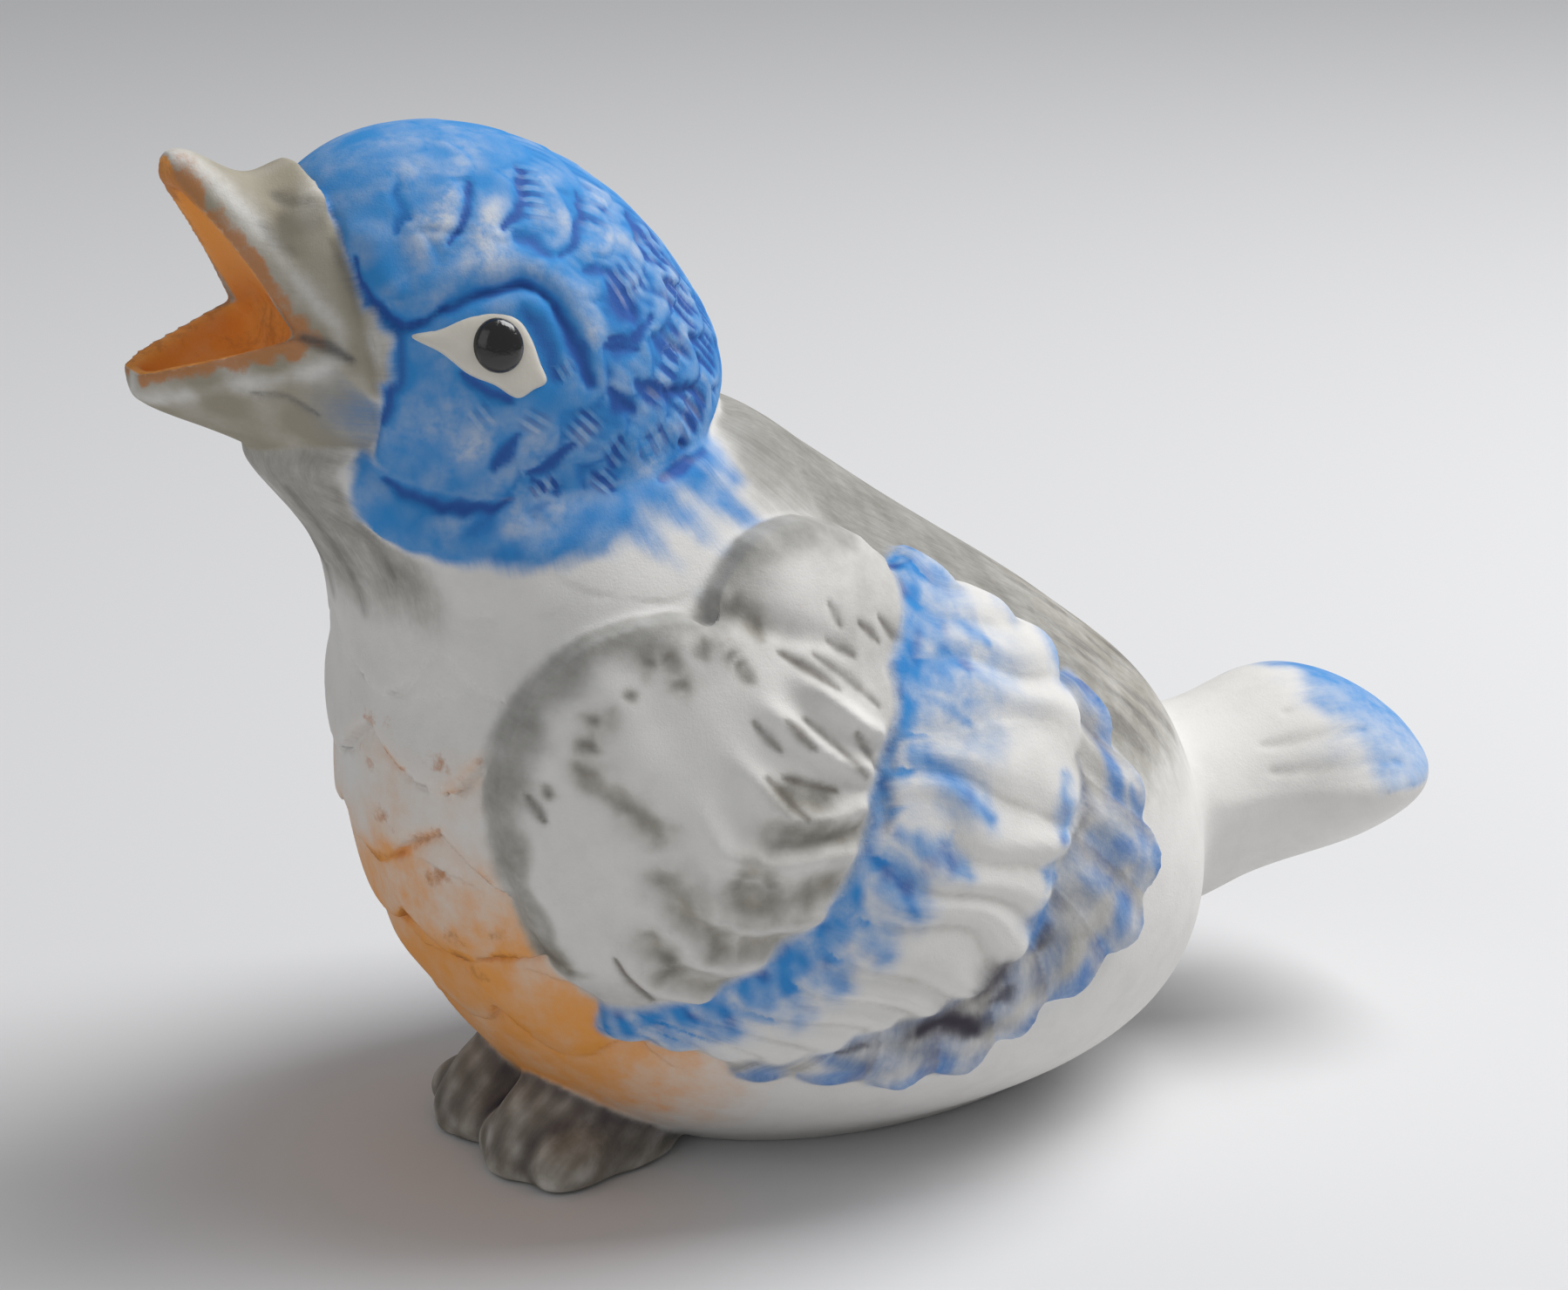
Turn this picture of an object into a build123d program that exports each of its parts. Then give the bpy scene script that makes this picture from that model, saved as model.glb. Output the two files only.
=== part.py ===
"""A singing songbird figure: a hollow casting with a flat base, divided where its own creases run.

The bird faces -Y, its left side is +X, and it rests on Z = 0. All sizes are in millimetres and degrees.
"""
from build123d import *
from collections import namedtuple
import math
import os

on_plane = (Align.CENTER, Align.CENTER, Align.MIN)

# Casting
wall = 4.0
seam = 0.1
vent_radius = 4.5
vent_y = 15.0
neck_hole_radius = 6.0
cavity_top = 46.0

# Body, as egg-shaped rings from the base up
Ring = namedtuple("Ring", "height middle front rear half_width")
base_ring = Ring(0.0, 4.0, 19.0, 23.0, 12.5)
skirt_ring = Ring(6.0, 3.0, 28.2, 31.5, 22.3)
hip_ring = Ring(14.0, 1.5, 34.3, 38.5, 29.5)
belly_ring = Ring(26.0, -2.0, 37.2, 42.0, 32.5)
breast_ring = Ring(38.0, -8.0, 33.9, 42.4, 31.0)
shoulder_ring = Ring(50.0, -15.0, 26.9, 35.8, 26.0)
throat_ring = Ring(60.0, -20.0, 25.5, 26.0, 19.5)
collar_ring = Ring(69.0, -24.5, 23.8, 7.0, 12.0)
rings = (base_ring, skirt_ring, hip_ring, belly_ring, breast_ring, shoulder_ring, throat_ring, collar_ring)

# Head, a spheroid that leans forward, cut off flat where the beak is set on
head_length = 45.8
head_width = 34.8
head_lean = 49.0
head_forward = 4.5
head_rise = 4.5
head_y = collar_ring.middle - head_forward
head_z = collar_ring.height + head_rise
seat_ahead = 14.4
seat_lean = 7.0

# Beak, as stations ahead of the head's middle, with heights from the head's middle
gape_ahead = 19.5
gape_rise = 4.5
gape_slope = 45.0
Upper = namedtuple("Upper", "ahead half_width rim crown")
upper_stations = (
    Upper(13.0, 12.6, -3.5, 16.4),
    Upper(gape_ahead, 8.4, 4.4, 17.2),
    Upper(23.5, 5.6, 11.2, 18.2),
    Upper(26.8, 3.2, 15.6, 19.6),
    Upper(27.8, 2.0, 16.8, 19.3),
)
Lower = namedtuple("Lower", "ahead half_width rim keel")
lower_stations = (
    Lower(13.0, 12.6, 0.5, -7.6),
    Lower(gape_ahead, 8.8, 4.6, -7.0),
    Lower(25.8, 5.8, 3.2, -3.6),
    Lower(30.2, 3.2, 2.2, -1.4),
    Lower(31.4, 2.0, 1.8, -0.5),
)
rim_thickness = 1.6
mouth_overcut = 1.5
mouth_depth = 3.0
palate_height = 2.2
trough_depth = 3.0
nostril_ahead = 16.4
nostril_rise = 13.6
nostril_side = 4.6
nostril_radius = 2.4
nostril_stretch = 1.7

# Eyes, an almond of white with a domed pupil, placed from the head's middle
eye_proud = 0.5
eye_front = (-11.6, 5.0)
eye_top = (-5.0, 6.7)
eye_rear = (-2.6, 0.6)
eye_bottom = (-7.2, 1.0)
pupil_place = (-6.1, 4.4)
pupil_radius = 2.05
pupil_height = 1.1

# Wings, as tiers of feathers that fan from the shoulder, seen from the side
fan_y = -32.0
fan_z = 45.5
wing_set_back = 1.2
Tier = namedtuple("Tier", "thickness feathers tip_bulge spokes")
shoulder_tier = Tier(2.8, 9, 0.5, ((20.0, 33.2), (6.0, 27.0), (-12.0, 23.2), (-45.0, 22.9), (-84.0, 24.6)))
covert_tier = Tier(2.1, 16, 0.9, ((17.0, 36.6), (-1.0, 46.2), (-28.0, 42.0), (-53.0, 34.4), (-82.0, 27.6)))
flight_tier = Tier(1.4, 10, 1.4, ((-2.0, 49.4), (-20.0, 56.0), (-40.0, 47.5), (-66.0, 34.6)))
lobe_points = ((-32.8, 25.0), (-36.0, 32.2), (-37.3, 39.6), (-35.4, 47.6), (-30.8, 53.0), (-25.2, 54.9))
lobe_notch = (-20.2, 54.8)
crest_points = ((-16.4, 58.8), (-10.6, 60.3), (-5.2, 59.3))

# Tail, as stations behind its root, with a crowned top and a rounded underside
Tail = namedtuple("Tail", "behind rim half_width crown belly")
tail_inset = 5.0
tail_stations = (
    Tail(0.0, 24.0, 10.0, 8.0, 13.0),
    Tail(10.0, 24.2, 10.2, 6.9, 11.7),
    Tail(17.0, 24.4, 11.8, 7.9, 8.8),
    Tail(24.5, 24.5, 12.8, 6.7, 5.2),
    Tail(28.8, 24.7, 10.2, 4.0, 3.2),
    Tail(30.9, 24.8, 5.6, 2.0, 1.8),
)

# Feet, each a round instep with three toes that spread in front of the belly
foot_side = 5.4
instep_inset = 1.7
instep_radii = (6.2, 9.2, 9.8)
toe_count = 3
toe_out = 8.0
toe_spread = 26.0
toe_length = 12.4
toe_radius = 3.7
toe_root_inset = 5.0


def half_arc(middle, half_width, height, start):
    """Half an oval's edge, turning left from its start angle."""
    return EllipticalCenterArc(middle, half_width, height, start, arc_size=180)


def egg_face(ring, grow):
    """One body ring, grown outwards all round."""
    width = ring.half_width + grow
    front = half_arc((0, ring.middle), width, ring.front + grow, 180)
    rear = half_arc((0, ring.middle), width, ring.rear + grow, 0)
    return Pos(0, 0, ring.height) * make_face([front, rear])


def body_blank(grow):
    """The body's outer form, grown outwards or, for the hollow, inwards."""
    return loft([egg_face(ring, grow) for ring in rings])


def seat_plane(grow):
    """The plane that the beak is set on, facing forward."""
    lean = math.radians(seat_lean)
    forward = (0, -math.cos(lean), -math.sin(lean))
    return Plane(origin=(0, head_y - seat_ahead, head_z), x_dir=(1, 0, 0), z_dir=forward).offset(grow)


def head_blank(grow):
    """The head's outer form, grown all round, with its flat beak seat."""
    radius = head_width / 2 + grow
    reach = head_length / 2 + grow
    outline = make_face([half_arc((0, 0), radius, reach, -90), Line((0, reach), (0, -reach))])
    spheroid = revolve(Plane.XZ * outline, Axis.Z)
    placed = Pos(0, head_y, head_z) * Rot(X=head_lean, Z=-90) * spheroid
    ahead = seat_plane(grow) * Box(head_length, head_length, head_length, align=on_plane)
    return placed - ahead


def neck_hole():
    """The passage through which the casting's hollow runs from the body into the head."""
    bore = Cylinder(neck_hole_radius, head_z - cavity_top, align=on_plane)
    return Pos(0, head_y + head_forward, cavity_top) * bore


def beak_plane(ahead):
    """An upright plane across the beak, with heights from the head's middle."""
    return Plane(origin=(0, head_y - ahead, head_z), x_dir=(1, 0, 0), z_dir=(0, -1, 0))


def half_oval(plane, half_width, chord, crest):
    """An oval halved at its chord, rising or falling to its crest."""
    height = abs(crest - chord)
    start = 0 if crest > chord else 180
    arc = half_arc((0, chord), half_width, height, start)
    return plane * make_face([arc, Line(arc @ 1, arc @ 0)])


def gape_plane(lift):
    """The plane that parts the two halves of the beak behind the corners of the mouth."""
    slope = math.radians(gape_slope)
    upward = (0, math.sin(slope), math.cos(slope))
    corner = (0, head_y - gape_ahead, head_z + gape_rise)
    return Plane(origin=corner, x_dir=(1, 0, 0), z_dir=upward).offset(lift)


def upper_beak():
    """The upper beak: a ridged roof with a hollow palate and a knob over each nostril."""
    blank = loft([half_oval(beak_plane(s.ahead), s.half_width, s.rim, s.crown) for s in upper_stations])
    for side in (-1, 1):
        knob = scale(Sphere(nostril_radius), by=(1, nostril_stretch, 1))
        blank += Pos(side * nostril_side, head_y - nostril_ahead, head_z + nostril_rise) * knob
    gape = upper_stations[1]
    drop = mouth_depth * math.tan(math.radians(gape_slope))
    back = gape._replace(ahead=gape.ahead - mouth_depth, rim=gape.rim - drop)
    palate = []
    for s in (back, *upper_stations[1:-1]):
        width = s.half_width - rim_thickness
        palate.append(half_oval(beak_plane(s.ahead), width, s.rim - mouth_overcut, s.rim + palate_height))
    blank = split(blank, bisect_by=gape_plane(0), keep=Keep.TOP) - loft(palate)
    return split(blank, bisect_by=seat_plane(seam), keep=Keep.TOP)


def lower_blank(grow):
    """The lower beak's outer form, grown downwards and sideways."""
    sections = []
    for s in lower_stations:
        sections.append(half_oval(beak_plane(s.ahead), s.half_width + grow, s.rim, s.keel - grow))
    return split(loft(sections), bisect_by=seat_plane(seam), keep=Keep.TOP)


def lower_beak():
    """The lower beak: a spoon with a raised rim, closed against the upper beak behind the mouth's corners."""
    gape = lower_stations[1]
    back = gape._replace(ahead=gape.ahead - mouth_depth)
    trough = []
    for s in (back, *lower_stations[1:-1]):
        width = s.half_width - rim_thickness
        trough.append(half_oval(beak_plane(s.ahead), width, s.rim + mouth_overcut, s.rim - trough_depth))
    return split(lower_blank(0), bisect_by=gape_plane(-seam), keep=Keep.BOTTOM) - loft(trough)


def side_prism(face):
    """A side outline, drawn in Y and Z, carried out through the bird's left flank."""
    return extrude(Plane.YZ * face, amount=belly_ring.half_width + shoulder_tier.thickness)


def head_point(place):
    """A point of the head's side outline, from the head's middle to Y and Z."""
    return (head_y + place[0], head_z + place[1])


def eye():
    """The almond of eye white that stands a little proud of the head."""
    front, top, rear, bottom = (head_point(p) for p in (eye_front, eye_top, eye_rear, eye_bottom))
    almond = make_face([ThreePointArc(front, top, rear), ThreePointArc(rear, bottom, front)])
    return (head_blank(eye_proud) & side_prism(almond)) - head_blank(seam)


def pupil():
    """The dark dome at the middle of the eye."""
    place_y, place_z = head_point(pupil_place)
    disc = side_prism(Pos(place_y, place_z) * Circle(pupil_radius))
    return (head_blank(eye_proud + pupil_height) & disc) - head_blank(eye_proud + seam)


def fan_point(angle, reach):
    """A point of a wing's fan, from its angle above level and its reach from the shoulder."""
    turn = math.radians(angle)
    return (fan_y + reach * math.cos(turn), fan_z + reach * math.sin(turn))


def spoke_reach(tier, angle):
    """The reach of a tier at an angle, run smoothly from each given spoke to the next."""
    for (start, near), (stop, far) in zip(tier.spokes, tier.spokes[1:]):
        if start >= angle >= stop:
            share = (start - angle) / (start - stop)
            ease = (1 - math.cos(math.pi * share)) / 2
            return near + (far - near) * ease
    return tier.spokes[-1][1]


def feather_edge(tier):
    """The scalloped edge of a tier: one rounded tip for each feather."""
    start = tier.spokes[0][0]
    step = (start - tier.spokes[-1][0]) / tier.feathers
    arcs = []
    for feather in range(tier.feathers):
        angles = [start - step * (feather + part) for part in (0, 0.5, 1)]
        reaches = [spoke_reach(tier, angle) for angle in angles]
        reaches[1] += tier.tip_bulge
        arcs.append(ThreePointArc(*[fan_point(a, r) for a, r in zip(angles, reaches)]))
    return arcs


def fan_face(tier):
    """A whole tier as a fan that starts at the shoulder."""
    edge = feather_edge(tier)
    middle = (fan_y, fan_z)
    return make_face([Line(middle, edge[0] @ 0), *edge, Line(edge[-1] @ 1, middle)])


def shoulder_face():
    """The heart-shaped shoulder panel, with a lobe in front and a crest above its notch."""
    edge = feather_edge(shoulder_tier)
    lobe = Spline(edge[-1] @ 1, *lobe_points, lobe_notch)
    crest = Spline(lobe_notch, *crest_points, edge[0] @ 0)
    return make_face([*edge, lobe, crest])


def wing_tier(face, tier):
    """A tier of feathers, as a raised plate that follows the flank."""
    raised = Pos(0, wing_set_back, 0) * body_blank(tier.thickness)
    return (raised & side_prism(face)) - body_blank(seam)


def tail():
    """The paddle tail, crowned on top, set into the rump."""
    root_y = belly_ring.middle + belly_ring.rear - tail_inset
    sections = []
    for s in tail_stations:
        plane = Plane(origin=(0, root_y + s.behind, s.rim), x_dir=(1, 0, 0), z_dir=(0, -1, 0))
        over = ThreePointArc((s.half_width, 0), (0, s.crown), (-s.half_width, 0))
        under = half_arc((0, 0), s.half_width, s.belly, 180)
        sections.append(plane * make_face([over, under]))
    return loft(sections) - body_blank(seam)


def foot():
    """The left foot: three toes that spread from a round instep, flat underneath."""
    toe_y = skirt_ring.middle - skirt_ring.front
    shape = Pos(foot_side, toe_y + instep_inset, 0) * scale(Sphere(1), by=instep_radii)
    for toe in range(toe_count):
        turn = toe_out + toe_spread * (toe - (toe_count - 1) / 2)
        bean = scale(Sphere(toe_radius), by=(1, toe_length / toe_radius / 2, 1))
        reach = Pos(0, -toe_length / 2, toe_radius / 2) * bean
        shape += Pos(foot_side, toe_y + toe_root_inset, 0) * Rot(Z=turn) * reach
    above = split(shape, bisect_by=Plane.XY, keep=Keep.TOP)
    own_side = split(above, bisect_by=Plane.YZ.offset(seam), keep=Keep.TOP)
    return own_side - body_blank(seam)


def head():
    """The hollow head, open to the body through the neck."""
    return head_blank(0) - head_blank(-wall) - neck_hole()


def body():
    """The hollow body, with a socket for the head, a bed for the chin and a vent in the base."""
    hollow = body_blank(-wall)
    hollow = split(hollow, bisect_by=Plane.XY.offset(wall), keep=Keep.TOP)
    hollow = split(hollow, bisect_by=Plane.XY.offset(cavity_top), keep=Keep.BOTTOM)
    vent = Pos(0, vent_y, 0) * Cylinder(vent_radius, 2 * wall)
    shell = body_blank(0) - hollow - vent - neck_hole()
    return shell - head_blank(seam) - lower_blank(seam)


def save(name, shape):
    """Write one piece under its node's name."""
    export_step(shape, f"parts/{name}.step")


def save_pair(name, shape):
    """Write a piece of the left side and its mirror image."""
    save(f"left_{name}", shape)
    save(f"right_{name}", mirror(shape, about=Plane.YZ))


def main():
    """Build every piece and write it."""
    os.makedirs("parts", exist_ok=True)
    shoulder = shoulder_face()
    coverts = fan_face(covert_tier)
    flights = fan_face(flight_tier)
    save("body", body())
    save("head", head())
    save("upper_beak", upper_beak())
    save("lower_beak", lower_beak())
    save("tail", tail())
    save_pair("eye", eye())
    save_pair("pupil", pupil())
    save_pair("wing_shoulder", wing_tier(shoulder, shoulder_tier))
    save_pair("wing_coverts", wing_tier(coverts - shoulder, covert_tier))
    save_pair("wing_flights", wing_tier(flights - coverts - shoulder, flight_tier))
    save_pair("foot", foot())


main()
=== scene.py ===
"""Singing songbird figure: one cast skin over the solid pieces, with carved feathers and brushed paint."""
import math

import bpy
import numpy as np
from bpy.props import FloatProperty, FloatVectorProperty, IntProperty, PointerProperty
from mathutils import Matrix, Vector
from mathutils.bvhtree import BVHTree


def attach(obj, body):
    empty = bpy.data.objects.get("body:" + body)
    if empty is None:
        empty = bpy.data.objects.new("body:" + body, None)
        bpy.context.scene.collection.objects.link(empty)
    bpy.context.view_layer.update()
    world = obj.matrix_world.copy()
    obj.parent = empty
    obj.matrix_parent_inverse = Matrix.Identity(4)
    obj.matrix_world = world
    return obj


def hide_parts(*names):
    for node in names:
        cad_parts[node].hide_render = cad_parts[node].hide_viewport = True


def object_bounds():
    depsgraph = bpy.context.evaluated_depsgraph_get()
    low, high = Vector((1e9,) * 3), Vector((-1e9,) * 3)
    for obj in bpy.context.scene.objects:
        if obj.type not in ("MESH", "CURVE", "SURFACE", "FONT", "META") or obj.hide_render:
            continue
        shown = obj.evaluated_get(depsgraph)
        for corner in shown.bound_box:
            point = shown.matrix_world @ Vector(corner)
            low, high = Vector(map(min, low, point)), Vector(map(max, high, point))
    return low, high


bl_info = {
    "name": "Songbird figure",
    "version": (1, 0, 0),
    "blender": (4, 5, 0),
    "location": "3D View > Sidebar > Songbird",
    "description": "Dresses the solid pieces of a cast songbird with relief and paint",
    "category": "Object",
}

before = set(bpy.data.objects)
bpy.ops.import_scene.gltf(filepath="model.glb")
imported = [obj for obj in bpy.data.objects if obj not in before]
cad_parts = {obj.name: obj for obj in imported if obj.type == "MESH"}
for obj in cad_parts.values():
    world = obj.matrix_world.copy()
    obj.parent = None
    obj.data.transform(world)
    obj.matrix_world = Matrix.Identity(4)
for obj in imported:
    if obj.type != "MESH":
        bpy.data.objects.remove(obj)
CAD_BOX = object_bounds()
MM = 0.001

# Width and height of the photo, in pixels
PHOTO_SHAPE = (1799, 1480)

# The photo's camera: turn and rise in degrees, distance and aim in millimetres, focal length in pixels
VIEW_TURN = 62.0
VIEW_RISE = 17.0
VIEW_DISTANCE = 400.0
VIEW_AIM = (0.0, 0.0, 43.0)
VIEW_FOCAL = 5100.0
SENSOR_WIDTH = 36.0

# Nodes with pieces of their own, and the nodes that share the cast skin
EYES = ("left_eye", "right_eye", "left_pupil", "right_pupil")
SKIN_NODES = [name for name in sorted(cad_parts) if name not in EYES]

# Places and outlines taken over from the part, in millimetres and degrees
HEAD_MIDDLE = (0.0, -29.0, 73.5)
HEAD_HALF_LENGTH = 22.9
HEAD_HALF_WIDTH = 17.4
HEAD_LEAN = 49.0
FAN_MIDDLE = (-32.0, 45.5)
SHOULDER_SPOKES = ((-84, 24.6), (-45, 22.9), (-12, 23.2), (6, 27.0), (20, 33.2))
COVERT_SPOKES = ((-82, 27.6), (-53, 34.4), (-28, 42.0), (-1, 46.2), (17, 36.6))
FLIGHT_SPOKES = ((-66, 34.6), (-40, 47.5), (-20, 56.0), (-2, 49.4))
VENT_PLACE = (0.0, 15.0)
VENT_RADIUS = 4.5

# Angle of the wing's fan that the covert feathers gather round, in degrees
COVERT_MIDDLE = -26

# Outline and middle of the eye and the pupil's middle, in Y and Z, and a place on the eye in space
EYE_OUTLINE = (
    (-41.4, 78.7), (-39.6, 79.3), (-37.4, 80.3), (-35.0, 80.7), (-33.2, 79.9), (-32.2, 78.2), (-31.6, 76.2),
    (-31.1, 74.6), (-32.2, 74.0), (-33.6, 73.4), (-35.4, 74.6), (-37.4, 75.6), (-39.4, 77.4),
)
EYE_MIDDLE = (-35.8, 77.3)
PUPIL_PLACE = (-35.1, 77.9)
PUPIL_STRETCH = 1.12
EYE_SPOT = (17.3, -35.0, 77.6)

# How far eye and pupil reach under the head's side, in millimetres
EYE_ROOT = 0.8

# Edge of the blue hood: angle back from the brow at each turn from the crown to the chin
HOOD_EDGE = (
    (0, 143), (60, 142), (74, 140), (82, 138), (95, 130), (107, 122), (116, 116), (127, 108), (135, 101),
    (147, 91), (152, 85), (156, 76), (180, 60),
)

# Edge of the hood at the throat: turn from the crown at each angle back from the brow
HOOD_FRONT = ((50, 143), (58, 145), (63, 147), (66, 151), (74, 154), (83, 155), (100, 158))

# Rows of head feathers: first row, row spacing, and the middle of one feather in each row, in degrees
SCALE_START = 17.6
SCALE_ROW = 13.4
SCALE_CENTRES = (80, 63, 50, 48, 58, 64, 73, 62, 70, 60, 72)

# Head feathers: rows with broad ones, widths of a broad and a narrow one in degrees, and the tips' curve
BROAD_ROWS = 4
BROAD_SCALE = 25.0
NARROW_SCALE = 20.0
SCALE_TIP = 0.55

# Mean radii of the head: along its rows, round its rows and at the throat, in millimetres
ROW_RADIUS = 20.5
TURN_RADIUS = 18
THROAT_RADIUS = 17

# Largest distance from the head's middle that counts at the hood's edge, in millimetres
HEAD_REACH = 24

# Breast scallops: height of the first row, row spacing and width in millimetres, and the tips' curve
SCALLOP_TOP = 56.0
SCALLOP_ROW = 8.4
SCALLOP_WIDTH = 15.5
SCALLOP_TIP = 0.5

# Wing panel, in Y and Z: its rim, the line from its notch, and lumps with width and height
PANEL_RIM = (
    (-32.8, 25.0), (-36.0, 32.2), (-37.3, 39.6), (-35.4, 47.6), (-30.8, 53.0), (-25.2, 54.9), (-20.2, 54.8),
    (-16.4, 58.8), (-10.6, 60.3), (-5.2, 59.3),
)
PANEL_NOTCH = ((-20.2, 55.2), (-17.8, 55.1), (-15.6, 54.2), (-12.6, 52.8), (-9.6, 51.8))
PANEL_LUMPS = (
    (-29.6, 43.8, 3.0, 0.5), (-34.2, 44.6, 2.3, 0.35), (-29.2, 49.8, 1.7, 0.4), (-23.8, 53.2, 1.5, 0.35),
    (-11.0, 56.2, 4.2, 0.8), (-22.0, 48.0, 3.4, 0.45), (-20.6, 52.5, 1.5, 0.3),
)

# Ridges, hollows and spots of the wing panel, in Y and Z, each with its width
PANEL_RIDGES = (
    (((-24.3, 42.3), (-23.3, 39.6), (-22.0, 36.6), (-18.5, 35.5), (-15.2, 35.7), (-11.8, 35.9)), 1.3),
    (((-26.5, 37.9), (-24.8, 33.5), (-22.7, 31.2), (-19.8, 30.4), (-16.4, 30.4), (-13.5, 30.8)), 1.2),
    (((-27.6, 34.2), (-25.8, 30.4), (-23.6, 27.4), (-21.0, 26.3), (-19.2, 26.7)), 1.1),
    (((-29.5, 30.0), (-27.8, 26.0), (-25.6, 23.7), (-22.5, 22.9)), 0.9),
    (((-21.5, 45.6), (-18.9, 42.2), (-16.4, 39.0), (-13.0, 38.8), (-10.5, 39.4)), 1.1),
    (((-18.5, 49.0), (-15.0, 45.6), (-12.0, 43.2), (-9.6, 42.2)), 1.0),
    (((-15.0, 50.4), (-12.0, 47.8), (-9.2, 45.4), (-7.8, 44.9)), 0.9),
)
PANEL_HOLLOWS = (
    (((-16.9, 41.0), (-15.2, 40.4), (-13.4, 40.2)), 0.9),
    (((-17.6, 37.4), (-14.4, 37.5), (-11.0, 37.3)), 1.0),
    (((-19.9, 35.0), (-18.7, 33.9)), 0.9),
    (((-20.4, 32.4), (-17.3, 32.3), (-14.2, 32.9)), 1.2),
    (((-25.9, 34.0), (-23.6, 30.5), (-22.1, 28.3)), 0.9),
    (((-27.4, 28.8), (-26.0, 27.1)), 0.7),
    (((-25.4, 25.6), (-23.3, 24.5), (-20.8, 24.5)), 0.8),
    (((-20.0, 28.4), (-17.8, 28.4)), 0.8),
    (((-31.8, 43.2), (-28.8, 40.4), (-26.8, 38.4)), 0.7),
)
PANEL_SPOTS = (
    (-30.4, 47.4, 1.0), (-31.2, 45.6, 0.7), (-34.3, 41.1, 0.5), (-24.0, 50.4, 0.9), (-24.4, 51.9, 0.8),
    (-26.2, 52.1, 0.9), (-27.7, 49.5, 0.5), (-21.6, 52.9, 0.7), (-19.6, 52.0, 0.7), (-16.5, 54.2, 1.1),
    (-17.8, 55.7, 0.8), (-32.9, 25.3, 0.9), (-31.8, 24.3, 0.8), (-18.6, 50.9, 0.6),
)

# Patches of the panel in Y and Z, each with its width: grey at the notch, and a painted highlight at the
# crest, left bare of grey
PANEL_GREY = (-17.6, 57.0, 3.4)
PANEL_HIGHLIGHT = (-11.5, 56.4, 2.6)

# Folds and strokes of the bird's left side as photo pixels, strokes with width in millimetres and force
BROW_FRONT = ((405, 299), (413, 324), (426, 349), (447, 369), (464, 375), (488, 370))
BROW_TOP = ((488, 370), (505, 357), (530, 345), (563, 334), (598, 325), (622, 332), (638, 350))
BROW_BACK = ((638, 350), (650, 375), (662, 400), (672, 428), (680, 442))
CHEEK_FOLD = ((442, 549), (459, 562), (484, 572), (509, 580), (534, 583), (563, 582), (580, 572))
HEAD_STROKES = (
    (BROW_FRONT, 0.6, 0.9), (BROW_TOP, 0.45, 0.9), (BROW_BACK, 0.75, 1), (CHEEK_FOLD, 0.6, 0.8),
    (((599, 357), (613, 370), (626, 391), (632, 415), (640, 432)), 0.9, 0.6),
    # The stroke under the eye is carved and painted deep blue as painted shadow under the eye.
    (((532, 428), (545, 441), (560, 449), (576, 454), (589, 460)), 0.6, 0.9),
    (((426, 491), (440, 480), (449, 462), (450, 446)), 0.6, 0.8),
    (((537, 208), (538, 224), (535, 241), (530, 258), (518, 281)), 0.5, 0.95),
    (((455, 203), (457, 228), (461, 245), (455, 268)), 0.5, 0.5), (((462, 246), (473, 252)), 0.4, 0.5),
    (((594, 190), (601, 208), (599, 224), (597, 241), (588, 252), (577, 260)), 0.6, 1),
    (((594, 272), (612, 281), (628, 292)), 0.9, 0.75),
    (((661, 220), (667, 241), (665, 262), (657, 280), (642, 293)), 0.5, 0.85),
    (((723, 240), (730, 258), (735, 276)), 0.8, 0.7), (((671, 312), (688, 307), (704, 310)), 0.55, 0.7),
    (((706, 318), (713, 345), (728, 363)), 1.5, 0.85),
    (((701, 387), (720, 391), (736, 383), (749, 361)), 0.4, 0.8),
    (((696, 396), (713, 400), (731, 397)), 0.7, 0.75), (((752, 388), (764, 396), (777, 400)), 0.9, 0.6),
    (((732, 440), (747, 451), (767, 452), (784, 445)), 0.7, 0.9),
    (((700, 449), (713, 462), (727, 471)), 0.7, 0.85), (((592, 500), (580, 520), (566, 537)), 0.7, 0.75),
    (((655, 511), (641, 526), (624, 537), (609, 541)), 0.55, 0.8), (((680, 540), (701, 562)), 0.4, 0.6),
    (((611, 549), (622, 562)), 0.4, 0.6), (((631, 551), (640, 566)), 0.4, 0.5),
    (((700, 537), (703, 520), (709, 503)), 0.5, 0.6), (((757, 553), (772, 541), (790, 529)), 0.6, 0.85),
    (((790, 529), (806, 519)), 0.5, 0.5), (((600, 590), (632, 576)), 0.5, 0.3),
)
HEAD_WIPES = (
    ((517, 228), 1.5, 1), ((484, 266), 2.2, 0.55), ((515, 258), 1.6, 0.6), ((567, 245), 1.4, 0.7),
    ((563, 276), 2, 0.8), ((555, 306), 2.4, 0.6), ((617, 308), 1.4, 0.55), ((665, 349), 1.6, 0.55),
    ((683, 376), 1.4, 0.9), ((680, 278), 1.4, 0.6), ((713, 270), 1.2, 0.7), ((686, 222), 1.2, 0.55),
    ((538, 503), 1.8, 0.75), ((546, 530), 1.7, 0.55), ((484, 487), 2, 0.35), ((609, 517), 1.8, 0.5),
    ((731, 516), 1.2, 0.6), ((745, 530), 1.2, 0.55), ((605, 598), 2, 0.7), ((638, 582), 1.4, 0.55),
    ((650, 412), 0.8, 0.5), ((712, 440), 1.4, 0.45), ((780, 470), 1.2, 0.5), ((760, 320), 1.3, 0.5),
    ((640, 250), 1.3, 0.5), ((446, 185), 2.6, 0.35), ((520, 160), 2.8, 0.3), ((628, 505), 1.2, 0.4),
)
PANEL_STROKE_WIDTH = 0.42
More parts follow.
